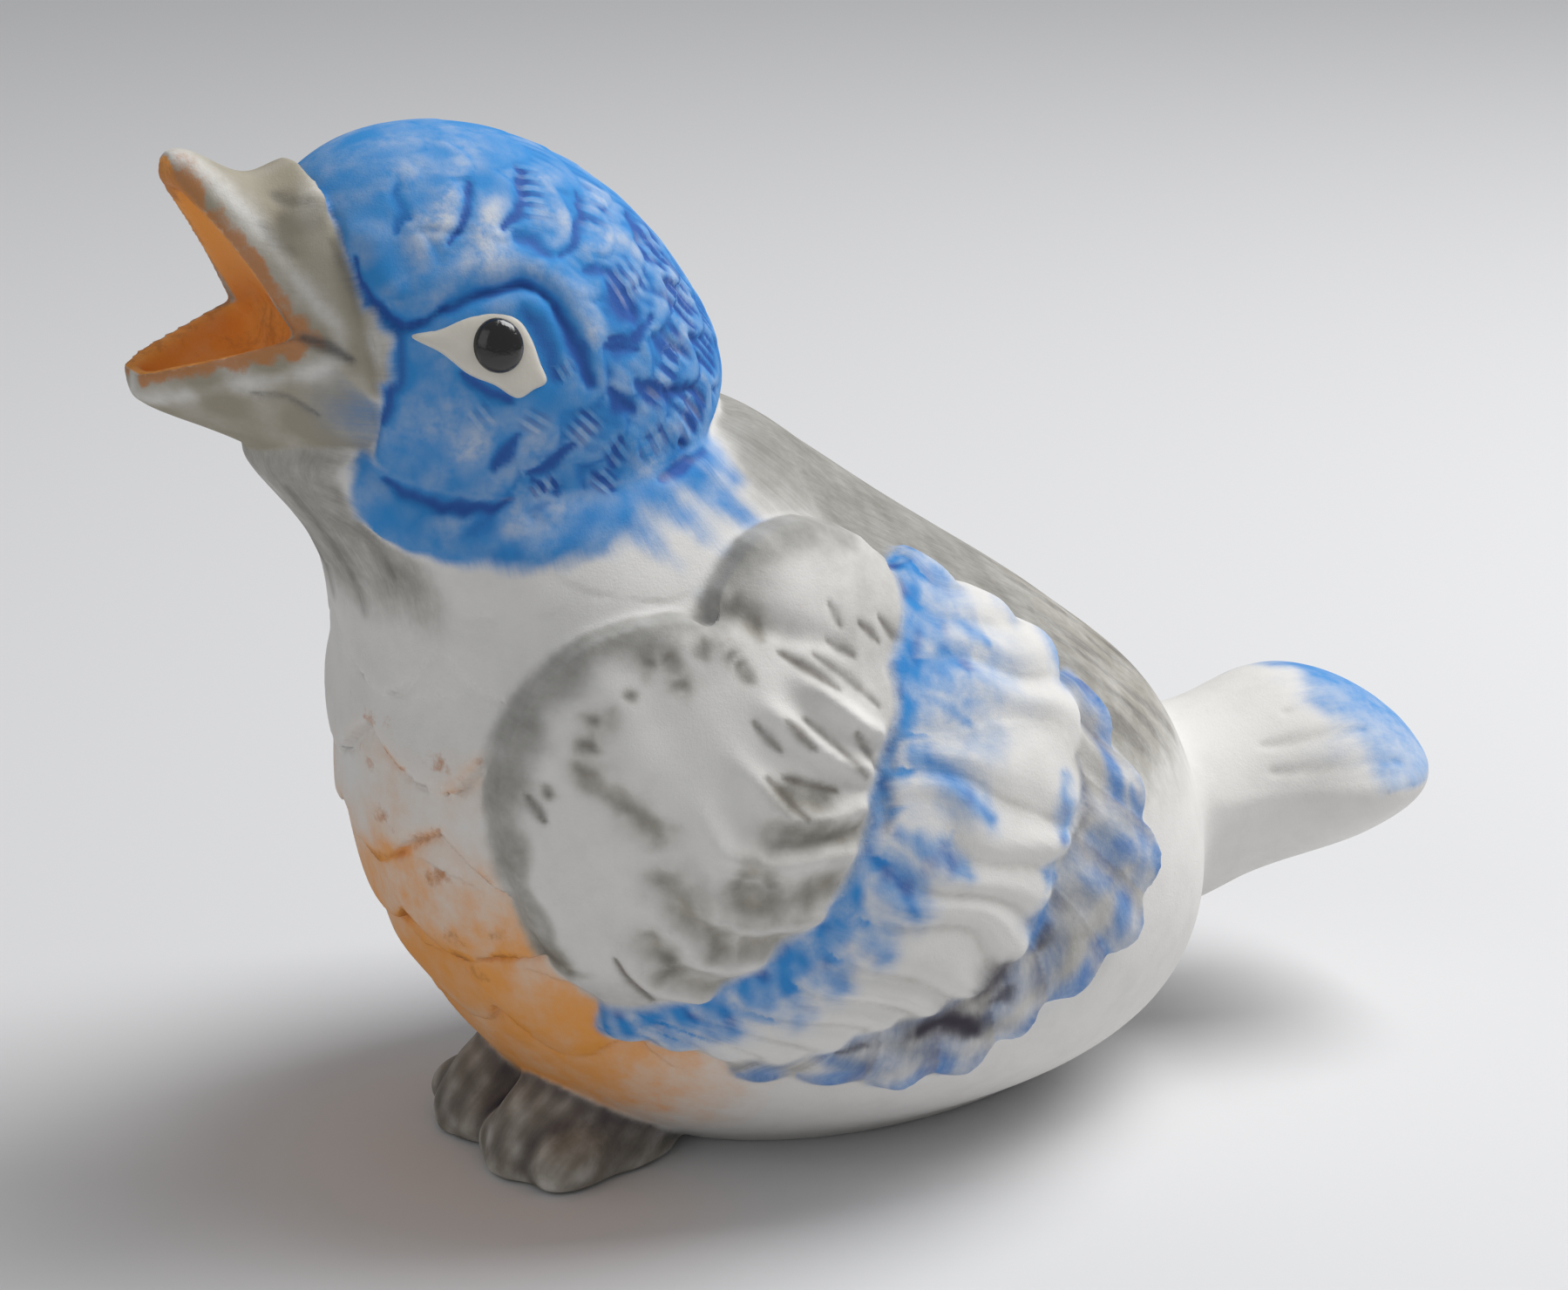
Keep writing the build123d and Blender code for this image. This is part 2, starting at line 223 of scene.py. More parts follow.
PANEL_STROKES = (
    ((900, 829), (930, 860)), ((923, 826), (974, 870)), ((957, 855), (993, 892)),
    ((979, 843), (1011, 882)), ((878, 892), (922, 938)), ((900, 892), (960, 908)),
    ((986, 717), (1009, 733)), ((1010, 708), (1040, 735)), ((950, 735), (980, 753)),
    ((896, 749), (959, 791)), ((934, 752), (1011, 808)), ((865, 830), (895, 860)),
    ((948, 697), (962, 718)), ((708, 1100), (747, 1155)), ((603, 914), (622, 944)),
)
WING_BLUES = (
    (((1050, 800), (1080, 812), (1112, 828)), 1.1, 0.84),
    (((1045, 862), (1085, 888), (1112, 915), (1135, 940)), 1.8, 0.84),
    (((1030, 955), (1070, 980), (1110, 1003)), 1.4, 0.75), (((1083, 966), (1088, 972)), 1.2, 0.79),
    (((1010, 990), (1035, 1020), (1052, 1045)), 2.4, 0.88),
    (((985, 1060), (1005, 1080), (1012, 1098)), 2, 0.75),
    (((930, 1090), (950, 1115), (958, 1138)), 2.2, 0.79),
    (((880, 1120), (905, 1145), (918, 1168)), 2.2, 0.66),
    (((800, 1165), (830, 1180), (845, 1186)), 1.9, 0.79), (((740, 1178), (790, 1195)), 2, 0.79),
    (((1045, 640), (1068, 665), (1090, 690)), 3.5, 0.7),
    (((1088, 700), (1110, 718), (1132, 736)), 1.1, 0.84), (((1100, 748), (1110, 764)), 1.8, 0.79),
    (((1052, 725), (1042, 755), (1036, 790)), 2.3, 0.84), (((1075, 765), (1120, 795)), 2.4, 0.48),
    (((1120, 660), (1160, 695)), 1.6, 0.4), (((1110, 850), (1150, 830)), 2.4, 0.35),
    (((1165, 695), (1215, 752), (1265, 795), (1292, 845)), 1.5, 0.7),
    (((1222, 893), (1225, 925), (1222, 960)), 1.1, 0.79), (((1296, 912), (1318, 946)), 1.1, 0.66),
    (((1324, 970), (1327, 997)), 1.6, 0.7), (((1255, 965), (1300, 977)), 1.9, 0.53),
    (((1203, 998), (1210, 1004)), 1.1, 0.79), (((1198, 1040), (1185, 1085)), 1.4, 0.75),
    (((1262, 1085), (1272, 1096)), 1.8, 0.66), (((1238, 1138), (1215, 1165)), 1.6, 0.53),
    (((1240, 1005), (1272, 1012)), 1.6, 0.48), (((948, 1214), (988, 1236)), 1.5, 0.53),
)
# Dark strokes of the lower tiers: dark patches on the flights, and painted shade in the creases along the
# panel's edge and at the coverts' tips.
WING_DARKS_AND_SHADES = (
    (((1122, 1140), (1143, 1122), (1156, 1108)), 1.6, 0.9), (((1145, 1146), (1156, 1136)), 1.2, 0.8),
    (((1052, 1182), (1085, 1170), (1122, 1180)), 1.5, 1), (((960, 1206), (992, 1199)), 0.6, 0.7),
    (((1238, 872), (1250, 925), (1236, 960)), 0.8, 0.4), (((1240, 815), (1258, 840)), 0.6, 0.4),
    (((1200, 1068), (1196, 1088)), 0.9, 0.55), (((1018, 815), (1026, 850), (1022, 880)), 0.9, 0.45),
    (((1012, 890), (1022, 925), (1016, 945)), 0.9, 0.45),
)

# Patches of fine lines on the head, in pixels: middle, way of the lines, half width, half length and pitch
HEAD_COMBS = (
    ((613, 221), (25, 6), 28, 15, 11.5), ((686, 236), (30, 19), 22, 20, 12.5),
    ((746, 276), (20, 25), 18, 19, 12), ((722, 321), (21, 33), 20, 21, 10.5),
    ((786, 366), (19, 26), 24, 18, 12), ((767, 427), (12, 13), 30, 11, 16),
    ((551, 479), (19, 23), 14, 14, 13), ((612, 486), (22, 13), 13, 15, 12),
    ((670, 490), (19, 19), 18, 15, 12), ((746, 507), (9, 19), 20, 14, 14),
    ((690, 551), (20, 21), 13, 14, 13), ((622, 557), (10, 14), 18, 9, 13),
    ((772, 325), (18, 26), 16, 16, 12), ((706, 516), (10, 16), 14, 13, 13),
    ((790, 478), (9, 20), 16, 13, 13), ((648, 425), (8, 13), 11, 9, 11),
)

# Raised ovals of the covert feathers, in Y and Z, with width and height
COVERT_OVALS = ((11.3, 47.1, 2.3, 0.55), (12.0, 41.9, 1.9, 0.35))

# Corner, rims, knob, tip and root of the open beak, the way out of its mouth and the ball at the back
GAPE_CORNER = ((11.4, -44.4, 79.6), (12.2, -43.6, 78.0), (12.2, -43.6, 75.6))
UPPER_RIM = ((8.4, -48.5, 77.9), (5.6, -52.5, 84.7), (3.2, -55.8, 89.1), (2.0, -56.8, 90.3))
LOWER_RIM = ((8.8, -48.5, 78.1), (5.8, -54.8, 76.7), (3.2, -59.2, 75.7), (2.0, -60.4, 75.3))
NOSTRIL_KNOB = (5.6, -45.9, 89.0)
BEAK_TIP = (1.2, -56.9, 90.4)
BEAK_ROOT = (10.5, -43.5, 72.0)
MOUTH_MIDDLE = (0.0, -46.0, 78.0)
MOUTH_WAY = (0.0, -14.0, 6.0)
MOUTH_BACK = (0.0, -45.6, 77.0)
MOUTH_BALL = (6.7, 3.0, 3.2)

# Strokes of beak, tail and bib with width and force, and the middles of the breast's rust spots
# Beak strokes, carved shallow and painted grey and dark: painted shade under the nostril knob, and dark
# lines along the beak and at the gape's corner.
BEAK_SHADE_STROKES = (
    (((3.8, -48.9, 89.2), (5.7, -47.7, 88.7), (6.4, -44.6, 87.8)), 0.9, 0.6),
    (((8.2, -48.8, 78.4), (9.4, -47.3, 77.8), (10.8, -45.5, 76.6)), 0.6, 1),
    (((6.2, -52.4, 73.6), (7.3, -49.8, 73.3), (8.0, -47.3, 71.5)), 0.3, 0.6),
    (((5.5, -50.8, 87.0), (6.9, -48.8, 85.0)), 0.9, 0.35),
    (((7.9, -45.7, 85.7), (9.3, -45.0, 83.0), (11.3, -44.3, 81.0)), 0.6, 0.4),
)
TAIL_LINES = (
    (((5.9, 50.7, 30.4), (2.5, 65.0, 27.4)), 0.7, 0.8),
    (((7.7, 47.1, 28.4), (9.5, 56.8, 28.5)), 0.7, 0.7),
    (((9.4, 47.1, 26.3), (11.9, 59.2, 25.7)), 0.7, 0.7),
)
BIB_STROKES = (
    (((3.5, -48.5, 64.5), (3.3, -41.7, 52.9)), 1.1, 0.9),
    (((8.0, -45.8, 65.1), (8.9, -41.6, 57.4)), 0.9, 0.8),
)
BREAST_SPOTS = (
    (14.6, -35.3, 26.1), (9.6, -35.3, 20.9), (2.0, -41.6, 39.4), (4.5, -41.2, 34.5),
    (9.4, -38.6, 30.2), (9.3, -37.1, 24.3), (4.6, -41.7, 43.4), (12.0, -39.4, 41.3),
)

# Layers of paint, four to a stored colour
PAINT_CHANNELS = (("blue", "deep", "grey", "orange"), ("rust", "taupe", "dark", "wipe"))

# Heights and depths of the carving, in millimetres
RIDGE_RISE = 1.2
HOLLOW_DEPTH = 0.3
PANEL_STROKE_DEPTH = 0.2
SPOT_DEPTH = 0.12
NOTCH_DEPTH = 1.0
RIM_RISE = 0.3
PANEL_FRONT_DEPTH = 0.7
PANEL_EDGE_DEPTH = 0.6
BROW_DEPTH = 0.5
BROW_RISE = 0.4
CHEEK_RISE = 0.2
SCALE_GROOVE_DEPTH = 0.22
HEAD_STROKE_DEPTH = 0.34
WIPE_RISE = 0.16
HOOD_RISE = 0.5
BEAK_SEAM_DEPTH = 0.5
KNOB_RISE = 0.45
BEAK_STROKE_DEPTH = 0.45
GAPE_DEPTH = 0.25
SCALLOP_RISE = 1.15
SCALLOP_GROOVE_DEPTH = 0.35
SADDLE_DEPTH = 1.1
VENT_DEPTH = 6.0
TAIL_RISE = 1.5
TAIL_GROOVE_DEPTH = 0.3

# Borders of the head's carving and paint: angles back and turns in degrees, the rest in millimetres
CHEEK_TURN = (104, 116)
CHEEK_BACK = (84, 98)
CHEEK_HEIGHT = (64, 67)
CROWN_TURN = (14, 40)
BROW_HEIGHT = (77, 82)
STROKED_SIDE = (4, 8)
STROKED_BACK = (-16, -21)
SCALE_FRONT = (24, 38)
SCALE_EYE_GAP = (7.2, 9.4)
SCALE_HEM = (1.0, 3.0)
COMB_BACK = (50, 60)
LEDGE_BACK = (-4, -12)
LEDGE_EDGE = (-0.4, 0.9)
LEDGE_WIDTH = (2, 9)
HOOD_HEM = (-1.5, 0)
NAPE_BACK = (-27, -17)
NAPE_TURN = (70, 90)
DEEP_BACK = (74, 100)
PALE_TIP_BACK = (80, 105)
NECK_FRONT = (-14, -26)

# Borders of the mouth and the beak, in millimetres
MOUTH_FRONT = (-43.6, -44.6)
MOUTH_SIDE = (8.5, 10)
THROAT_SIDE = (6, 7.5)
RUST_FRONT = (-45, -48)

# Borders of the breast's scallops and paint and of the bib, in millimetres
SCALLOP_FRONT = (-17, -27)
SCALLOP_FOOT = (12, 20)
SCALLOP_FADE = (43, 50)
SCALLOP_END = (54, 60)
ORANGE_FRONT = (-12, -28)
ORANGE_HEIGHT = (44, 20)
ORANGE_FOOT = (2, 7)
RUST_HEIGHT = (50, 42)
BIB_FRONT = (-36, -40)
BIB_HEIGHT = (51, 57)

# Borders of the back's dip and of its grey, in millimetres
SADDLE_START = (-8, 2)
SADDLE_END = (26, 38)
SADDLE_HEIGHT = (32, 42)
SADDLE_SIDE = (14, 20)
BACK_START = (-20, -12)
BACK_WIDER = (-10, 10)
BACK_NARROWER = (24, 36)
BACK_END = (36, 46)
BACK_HEIGHT = (28, 39)
RUMP_START = (12, 26)

# Borders on the wings: angles of the fan in degrees, the rest in millimetres
FEATHER_TOP = (4, 11)
FEATHER_FOOT = (-46, -58)
PANEL_FRONT = (-27, -37)
PANEL_TOP = (50, 55)
PANEL_CREST = (56.5, 60.5)
PANEL_HAZE = (2, 12)
COVERT_LOW = (-26, -44)
COVERT_HIGH = (-8, 4)
COVERT_SHADE = (-48, -30)
COVERT_WASH = (1, 10)
COVERT_CREASE_SHADE = (-0.4, 1.6)

# Borders of the tail's fullness and paint, in millimetres
TAIL_FULL = (46, 57)
TAIL_BLUE = (51.5, 58)
TAIL_THIN_SIDE = (5, 12)
TAIL_DEEP_SIDE = (0, 6)
TAIL_WIPED_SIDE = (-2, 8)
BLUE_LINE_START = (52, 57)
GREY_LINE_END = (52, 60)

# How far a cut piece's rim and floor lie under the skin, in millimetres
CAP_RIM = 1.2
CAP_FLOOR = 2.0

# Noise of the paint: waves to a metre, and the brush's waves across and along it
CLOUD_SCALE = 260.0
BLOTCH_SCALE = 640.0
SPECK_SCALE = 1500.0
GRAIN_SCALE = 5200.0
STREAK_STRETCH = (1.6, 0.28, 1.0)
BRISTLE_STRETCH = (4.5, 0.7, 1.0)
EYE_CLOUD_SCALE = 700.0
PUPIL_CLOUD_SCALE = 900.0

# Surfaces: roughness, shine and coat, and the depth of the bump in metres
CLAY_ROUGHNESS = 0.72
CLAY_SHINE = 0.25
CLAY_BUMP = 0.00006
EYE_ROUGHNESS = 0.55
EYE_BUMP = 0.00008
PUPIL_ROUGHNESS = 0.16
PUPIL_COAT = 0.6
PUPIL_BUMP = 0.00012
FLOOR_ROUGHNESS = 0.85

# Lamps: sideways, towards the camera and up from the aim, in metres, and the width of each
KEY_PLACE = (0.36, -0.14, 0.58)
KEY_WIDTH = 0.5
FILL_PLACE = (-0.45, 0.55, 0.3)
FILL_WIDTH = 0.6
SKY_COLOUR = (0.97, 0.985, 1.0, 1)
FLOOR_WIDTH = 8


def length_setting(name, millimetres, description):
    """A length that the panel shows, with its default given in millimetres."""
    return FloatProperty(name=name, default=millimetres * MM, unit="LENGTH", description=description)


def colour_setting(name, default, description):
    """A colour that the panel shows."""
    return FloatVectorProperty(name=name, default=default, subtype="COLOR", min=0, max=1,
                               description=description)


class FigureSizes(bpy.types.PropertyGroup):
    """Sizes of the skin and its relief."""
    grain: length_setting("Skin grain", 0.34, "Edge length of the cast skin's mesh")
    covert_feathers: IntProperty(name="Covert feathers", default=16,
                                 description="Feathers of the middle tier")
    flight_feathers: IntProperty(name="Flight feathers", default=10,
                                 description="Feathers of the lowest tier")
    feather_height: length_setting("Feather height", 1.15, "Height of a wing feather's ridge")
    scale_height: length_setting("Scale height", 0.34, "Step at the tip of a head feather")
    comb_depth: length_setting("Comb depth", 0.36, "Depth of the short lines at a head feather's root")
    pupil_radius: length_setting("Pupil radius", 2.0, "Half the pupil's width")
    pupil_height: length_setting("Pupil height", 0.95, "Rise of the pupil")
    eye_rise: length_setting("Eye rise", 0.42, "Thickness of the eye white")


class FigurePaints(bpy.types.PropertyGroup):
    """Colours of the paint."""
    bare: colour_setting("Bare clay", (0.78, 0.765, 0.74), "Unpainted casting")
    blue: colour_setting("Blue", (0.012, 0.245, 0.64), "Blue of head, wings and tail")
    # The deep blue also lays painted shade in the crease under the shoulder panel.
    deep: colour_setting("Deep blue", (0.004, 0.085, 0.38), "Blue where it pools in carved lines")
    # The grey also lays painted shade along the panel's edge, between the covert feathers and under the
    # beak's nostril knob.
    grey: colour_setting("Grey", (0.17, 0.165, 0.145), "Sprayed grey of wings and back")
    orange: colour_setting("Orange", (0.88, 0.37, 0.075), "Strong orange of breast and mouth")
    orange_wash: colour_setting("Orange wash", (0.83, 0.47, 0.22), "Thin orange of the breast")
    rust: colour_setting("Rust", (0.50, 0.19, 0.05), "Orange brown in carved lines")
    taupe: colour_setting("Taupe", (0.33, 0.295, 0.22), "Grey brown of beak and feet")
    # The dark also lays painted shade in the crease under the shoulder panel and in the feet's hollows.
    dark: colour_setting("Dark", (0.045, 0.038, 0.055), "Dark accents at feather roots and toes")
    eye_white: colour_setting("Eye white", (0.74, 0.70, 0.62), "Cream white of the eyes")
    pupil: colour_setting("Pupil", (0.010, 0.009, 0.009), "Glossy black of the pupils")
    floor: colour_setting("Floor", (0.72, 0.72, 0.73), "Pale floor")


class StageLook(bpy.types.PropertyGroup):
    """Camera and light."""
    azimuth: FloatProperty(name="Azimuth", default=math.radians(VIEW_TURN), subtype="ANGLE",
                           description="Turn of the camera")
    elevation: FloatProperty(name="Elevation", default=math.radians(VIEW_RISE), subtype="ANGLE",
                             description="Camera's angle above the floor")
    distance: length_setting("Distance", VIEW_DISTANCE, "Camera to aim")
    aim: length_setting("Aim height", VIEW_AIM[2], "Height that the camera looks at")
    lens: FloatProperty(name="Lens", default=SENSOR_WIDTH * VIEW_FOCAL / PHOTO_SHAPE[0], unit="CAMERA",
                        description="Focal length in millimetres")
    key: FloatProperty(name="Key light", default=5.2, unit="POWER",
                       description="Power of the large lamp above")
    fill: FloatProperty(name="Fill light", default=0.6, unit="POWER",
                        description="Power of the lamp beside the camera")
    sky: FloatProperty(name="Sky", default=0.28, description="Even light from all round")


def ramp(value, low, high):
    """A soft step from 0 at low to 1 at high."""
    share = np.clip((value - low) / (high - low), 0, 1)
    return share * share * (3 - 2 * share)


def bell(value, width):
    """A soft hump round zero."""
    return np.exp(-(value / width) ** 2)


def wobble(points, length, seed, waves=7, height=2.6):
    """Smooth, even noise between about -1 and 1, made of a few waves divided by their usual height."""
    chance = np.random.default_rng(seed)
    total = np.zeros(len(points))
    for _ in range(waves):
        way = chance.normal(size=3)
        way *= 2 * math.pi / length / np.linalg.norm(way) * chance.uniform(0.7, 1.5)
        total += np.sin(points @ way + chance.uniform(0, 2 * math.pi))
    return total / height


def path_gap(points, path):
    """Distance of points from a line through given places, and the share of the line passed."""
    path = np.asarray(path, float)
    runs = np.linalg.norm(np.diff(path, axis=0), axis=1)
    start = np.concatenate([[0], np.cumsum(runs)])
    best = np.full(len(points), 1e9)
    passed = np.zeros(len(points))
    for index, (near, far) in enumerate(zip(path, path[1:])):
        way = far - near
        share = np.clip((points - near) @ way / (way @ way), 0, 1)
        gap = np.linalg.norm(points - near - share[:, None] * way, axis=1)
        closer = gap < best
        best = np.where(closer, gap, best)
        passed = np.where(closer, start[index] + share * runs[index], passed)
    return best, passed / start[-1]


def strokes_on(points, table):
    """How strongly points lie on a table's strokes, each a path with its width and force."""
    total = np.zeros(len(points))
    for path, width, force in table:
        path = np.asarray(path, float)
        near = ((points > path.min(0) - 3 * width) & (points < path.max(0) + 3 * width)).all(1)
        gap, run = path_gap(points[near], path)
        taper = 0.6 + 0.5 * np.sin(math.pi * np.clip(run, 0, 1))
        total[near] = np.maximum(total[near], bell(gap, width * taper) * force)
    return total


def upright(path):
    """A path in Y and Z as one in space."""
    return [(0, *p) for p in path]


def flattened(table):
    """A table of strokes with its paths laid flat on the figure's mid-plane."""
    return [(np.array(path) * (0, 1, 1), width, force) for path, width, force in table]


def mesh_arrays(obj):
    """A mesh object's points in millimetres and its triangles."""
    mesh = obj.data
    mesh.calc_loop_triangles()
    points = np.empty(len(mesh.vertices) * 3)
    mesh.vertices.foreach_get("co", points)
    tris = np.empty(len(mesh.loop_triangles) * 3, np.int32)
    mesh.loop_triangles.foreach_get("vertices", tris)
    return points.reshape(-1, 3) / MM, tris.reshape(-1, 3)


def joined_nodes():
    """All skin nodes as one soup: points, triangles and the node of each triangle."""
    points, tris, owners = [], [], []
    base = 0
    for index, name in enumerate(SKIN_NODES):
        own_points, own_tris = mesh_arrays(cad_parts[name])
        points.append(own_points)
        tris.append(own_tris + base)
        owners.append(np.full(len(own_tris), index))
        base += len(own_points)
    return np.concatenate(points), np.concatenate(tris), np.concatenate(owners)


def mouth_filling(first, count=32, levels=18):
    """A flat ball at the back of the open beak, so that the mouth ends in a soft hollow."""
    turns = np.linspace(0, 2 * math.pi, count, endpoint=False)
    tilts = np.linspace(-math.pi / 2, math.pi / 2, levels)[1:-1]
    points = [(0, 0, -1), (0, 0, 1)]
    for tilt in tilts:
        flat = math.cos(tilt)
        points += [(flat * math.cos(t), flat * math.sin(t), math.sin(tilt)) for t in turns]
    top = 2 + (len(tilts) - 1) * count
    tris = []
    for step in range(count):
        after = (step + 1) % count
        tris.append((0, 2 + after, 2 + step))
        tris.append((1, top + step, top + after))
        for row in range(2, top, count):
            a = row + step
            b = row + after
            tris += [(a, b, b + count), (a, b + count, a + count)]
    return np.array(points) * MOUTH_BALL + MOUTH_BACK, np.array(tris) + first


def vent_plug(first, count=48, overlap=0.7, height=3):
    """A short cylinder that closes the vent, so that the skin stays outside."""
    turns = np.linspace(0, 2 * math.pi, count, endpoint=False)
    radius = VENT_RADIUS + overlap
    ring = np.stack([VENT_PLACE[0] + radius * np.cos(turns),
                     VENT_PLACE[1] + radius * np.sin(turns), np.zeros(count)], 1)
    points = np.concatenate([ring, ring + (0, 0, height), [[*VENT_PLACE, 0], [*VENT_PLACE, height]]])
    under = 2 * count
    over = under + 1
    tris = []
    for step in range(count):
        after = (step + 1) % count
        tris += [(step, after, count + after), (step, count + after, count + step), (after, step, under),
                 (count + step, count + after, over)]
    return points, np.array(tris) + first


def remeshed(points, tris, grain):
    """The voxel skin round a closed soup of faces, as points in millimetres and quads."""
    mesh = bpy.data.meshes.new("skin_source")
    mesh.from_pydata((points * MM).tolist(), [], tris.tolist())
    obj = bpy.data.objects.new("skin_source", mesh)
    bpy.context.scene.collection.objects.link(obj)
    remesh = obj.modifiers.new("skin", "REMESH")
    remesh.mode = "VOXEL"
    remesh.voxel_size = grain
    graph = bpy.context.evaluated_depsgraph_get()
    result = bpy.data.meshes.new_from_object(obj.evaluated_get(graph))
    found = np.empty(len(result.vertices) * 3)
    result.vertices.foreach_get("co", found)
    loops = np.empty(len(result.loops), np.int32)
    result.loops.foreach_get("vertex_index", loops)
    bpy.data.objects.remove(obj)
    bpy.data.meshes.remove(mesh)
    bpy.data.meshes.remove(result)
    return found.reshape(-1, 3) / MM, loops.reshape(-1, 4).astype(np.int64)


def outer_part(points, quads):
    """The connected part of a skin that holds its highest point."""
    kept = np.zeros(len(points), bool)
    kept[np.argmax(points[:, 2])] = True
    count = 0
    while kept.sum() > count:
        count = kept.sum()
        for _ in range(40):
            touched = kept[quads].any(1)
            kept[quads[touched].ravel()] = True
    quads = quads[kept[quads[:, 0]]]
    renumber = np.cumsum(kept) - 1
    return points[kept], renumber[quads]


class Skin:
    """The cast skin while it is worked: points, quads and the links between neighbours."""

    def __init__(self, points, quads):
        self.points = points
        self.quads = quads
        pairs = np.concatenate([quads[:, [k, (k + 1) % 4]] for k in range(4)])
        pairs.sort(axis=1)
        keys = np.unique(pairs[:, 0] * len(points) + pairs[:, 1])
        self.near = keys // len(points)
        self.far = keys % len(points)
        ends = np.concatenate([self.near, self.far])
        self.links = np.bincount(ends, minlength=len(points))

    def neighbours(self, values):
        """The mean of each point's neighbours."""
        if values.ndim == 2:
            return np.stack([self.neighbours(values[:, k]) for k in range(values.shape[1])], 1)
        count = len(self.points)
        total = np.bincount(self.near, values[self.far], count)
        total += np.bincount(self.far, values[self.near], count)
        return total / self.links

    def spread(self, values, rounds):
        """Values run into their neighbours."""
        for _ in range(rounds):
            values = 0.5 * values + 0.5 * self.neighbours(values)
        return values

    def relax(self, weight, rounds):
        """Points moved towards their neighbours."""
        for _ in range(rounds):
            self.points = self.points + weight * (self.neighbours(self.points) - self.points)

    def relax_part(self, weight, rounds):
        """Only the weighted points moved towards their neighbours, many times."""
        part = weight > 0.001
        links = part[self.near] | part[self.far]
        near = self.near[links]
        far = self.far[links]
        used = np.unique(np.concatenate([near, far]))
        renumber = np.zeros(len(self.points), np.int64)
        renumber[used] = np.arange(len(used))
        near = renumber[near]
        far = renumber[far]
        size = len(used)
        links = np.maximum(np.bincount(near, minlength=size) + np.bincount(far, minlength=size), 1)
        own = np.where(part[used], weight[used], 0)
        points = self.points[used]
        for _ in range(rounds):
            for axis in range(3):
                value = points[:, axis]
                mean = (np.bincount(near, value[far], size) + np.bincount(far, value[near], size)) / links
                points[:, axis] = value + own * (mean - value)
        self.points[used] = points

    def even(self, rounds, inward=0.5, outward=0.52):
        """Steps of the voxels taken out, without shrinking."""
        for _ in range(rounds):
            self.relax(inward, rounds=1)
            self.relax(-outward, rounds=1)

    def normals(self):
        """Each point's outward direction."""
        corner = self.points[self.quads]
        across = np.cross(corner[:, 2] - corner[:, 0], corner[:, 3] - corner[:, 1])
        count = len(self.points)
        total = np.zeros((count, 3))
        for k in range(4):
            for axis in range(3):
                total[:, axis] += np.bincount(self.quads[:, k], across[:, axis], count)
        return total / np.linalg.norm(total, axis=1)[:, None]


class Places:
    """Where each point lies, in the figure's own measures."""

    def __init__(self, points, normals):
        self.points = points
        self.normals = normals
        self.x, self.y, self.z = points.T
        self.side = np.abs(self.x)
        self.folded = np.stack([self.side, self.y, self.z], 1)
        self.fan_reach = np.hypot(self.y - FAN_MIDDLE[0], self.z - FAN_MIDDLE[1])
        self.fan_angle = np.degrees(np.arctan2(self.z - FAN_MIDDLE[1], self.y - FAN_MIDDLE[0]))
        lean = math.radians(HEAD_LEAN)
        out = points - np.array(HEAD_MIDDLE)
        out = out / np.linalg.norm(out, axis=1)[:, None]
        ahead = -out[:, 1] * math.sin(lean) + out[:, 2] * math.cos(lean)
        above = out[:, 1] * math.cos(lean) + out[:, 2] * math.sin(lean)
        self.head_back = np.degrees(np.arccos(np.clip(ahead, -1, 1)))
        self.head_turn = np.degrees(np.arctan2(np.abs(out[:, 0]), above))


class PhotoMarks:
    """The folds and strokes picked out in the photo, laid on the skin as its camera sees it."""

    def __init__(self, points):
        turn = math.radians(VIEW_TURN)
        rise = math.radians(VIEW_RISE)
        back = np.array((math.cos(rise) * math.sin(turn), -math.cos(rise) * math.cos(turn), math.sin(rise)))
        right = np.array((math.cos(turn), math.sin(turn), 0.0))
        out = points - np.array(VIEW_AIM) - back * VIEW_DISTANCE
        self.points = points
        self.depth = -(out @ back)
        self.across = PHOTO_SHAPE[0] / 2 + VIEW_FOCAL * (out @ right) / self.depth
        self.down = PHOTO_SHAPE[1] / 2 - VIEW_FOCAL * (out @ np.cross(back, right)) / self.depth
        self.head_strokes = self.laid(HEAD_STROKES)
        self.head_wipes = [(self.place(spot), width, force) for spot, width, force in HEAD_WIPES]
        self.head_combs = [self.comb(*patch) for patch in HEAD_COMBS]
        self.panel_strokes = flattened(self.laid([(path, PANEL_STROKE_WIDTH, 1) for path in PANEL_STROKES]))
        self.wing_blues = flattened(self.laid(WING_BLUES))
        self.wing_darks_and_shades = flattened(self.laid(WING_DARKS_AND_SHADES))
        self.brow_fold = [self.place(p) for p in BROW_FRONT + BROW_TOP[1:] + BROW_BACK[1:]]
        self.cheek_fold = [self.place(p) for p in CHEEK_FOLD]

    def place(self, pixel, reach=7, margin=2, layer=1.6):
        """The place in millimetres on the nearest skin seen at a pixel, or beside one just off the skin."""
        gap = np.hypot(self.across - pixel[0], self.down - pixel[1])
        near = gap < max(reach, gap.min() + margin)
        seen = near & (self.depth < self.depth[near].min() + layer)
        weight = 1 / (0.3 + gap[seen]) ** 2
        return weight @ self.points[seen] / weight.sum()

    def laid(self, table):
        """A table of strokes with each path laid on the skin."""
        return [([self.place(p) for p in path], width, force) for path, width, force in table]

    def comb(self, middle, way, wide, long, pitch):
        """A patch of lines: its middle, ways along and across, half length, half width and pitch."""
        middle = np.array(middle, float)
        way = np.array(way) / np.hypot(*way)
        side = np.array((-way[1], way[0]))
        along = (self.place(middle + way * long) - self.place(middle - way * long)) / 2
        across = (self.place(middle + side * wide) - self.place(middle - side * wide)) / 2
        half_length = np.linalg.norm(along)
        half_width = np.linalg.norm(across)
        along /= half_length
        across -= along * (across @ along)
        across /= np.linalg.norm(across)
        return self.place(middle), along, across, half_length, half_width, half_width * pitch / wide


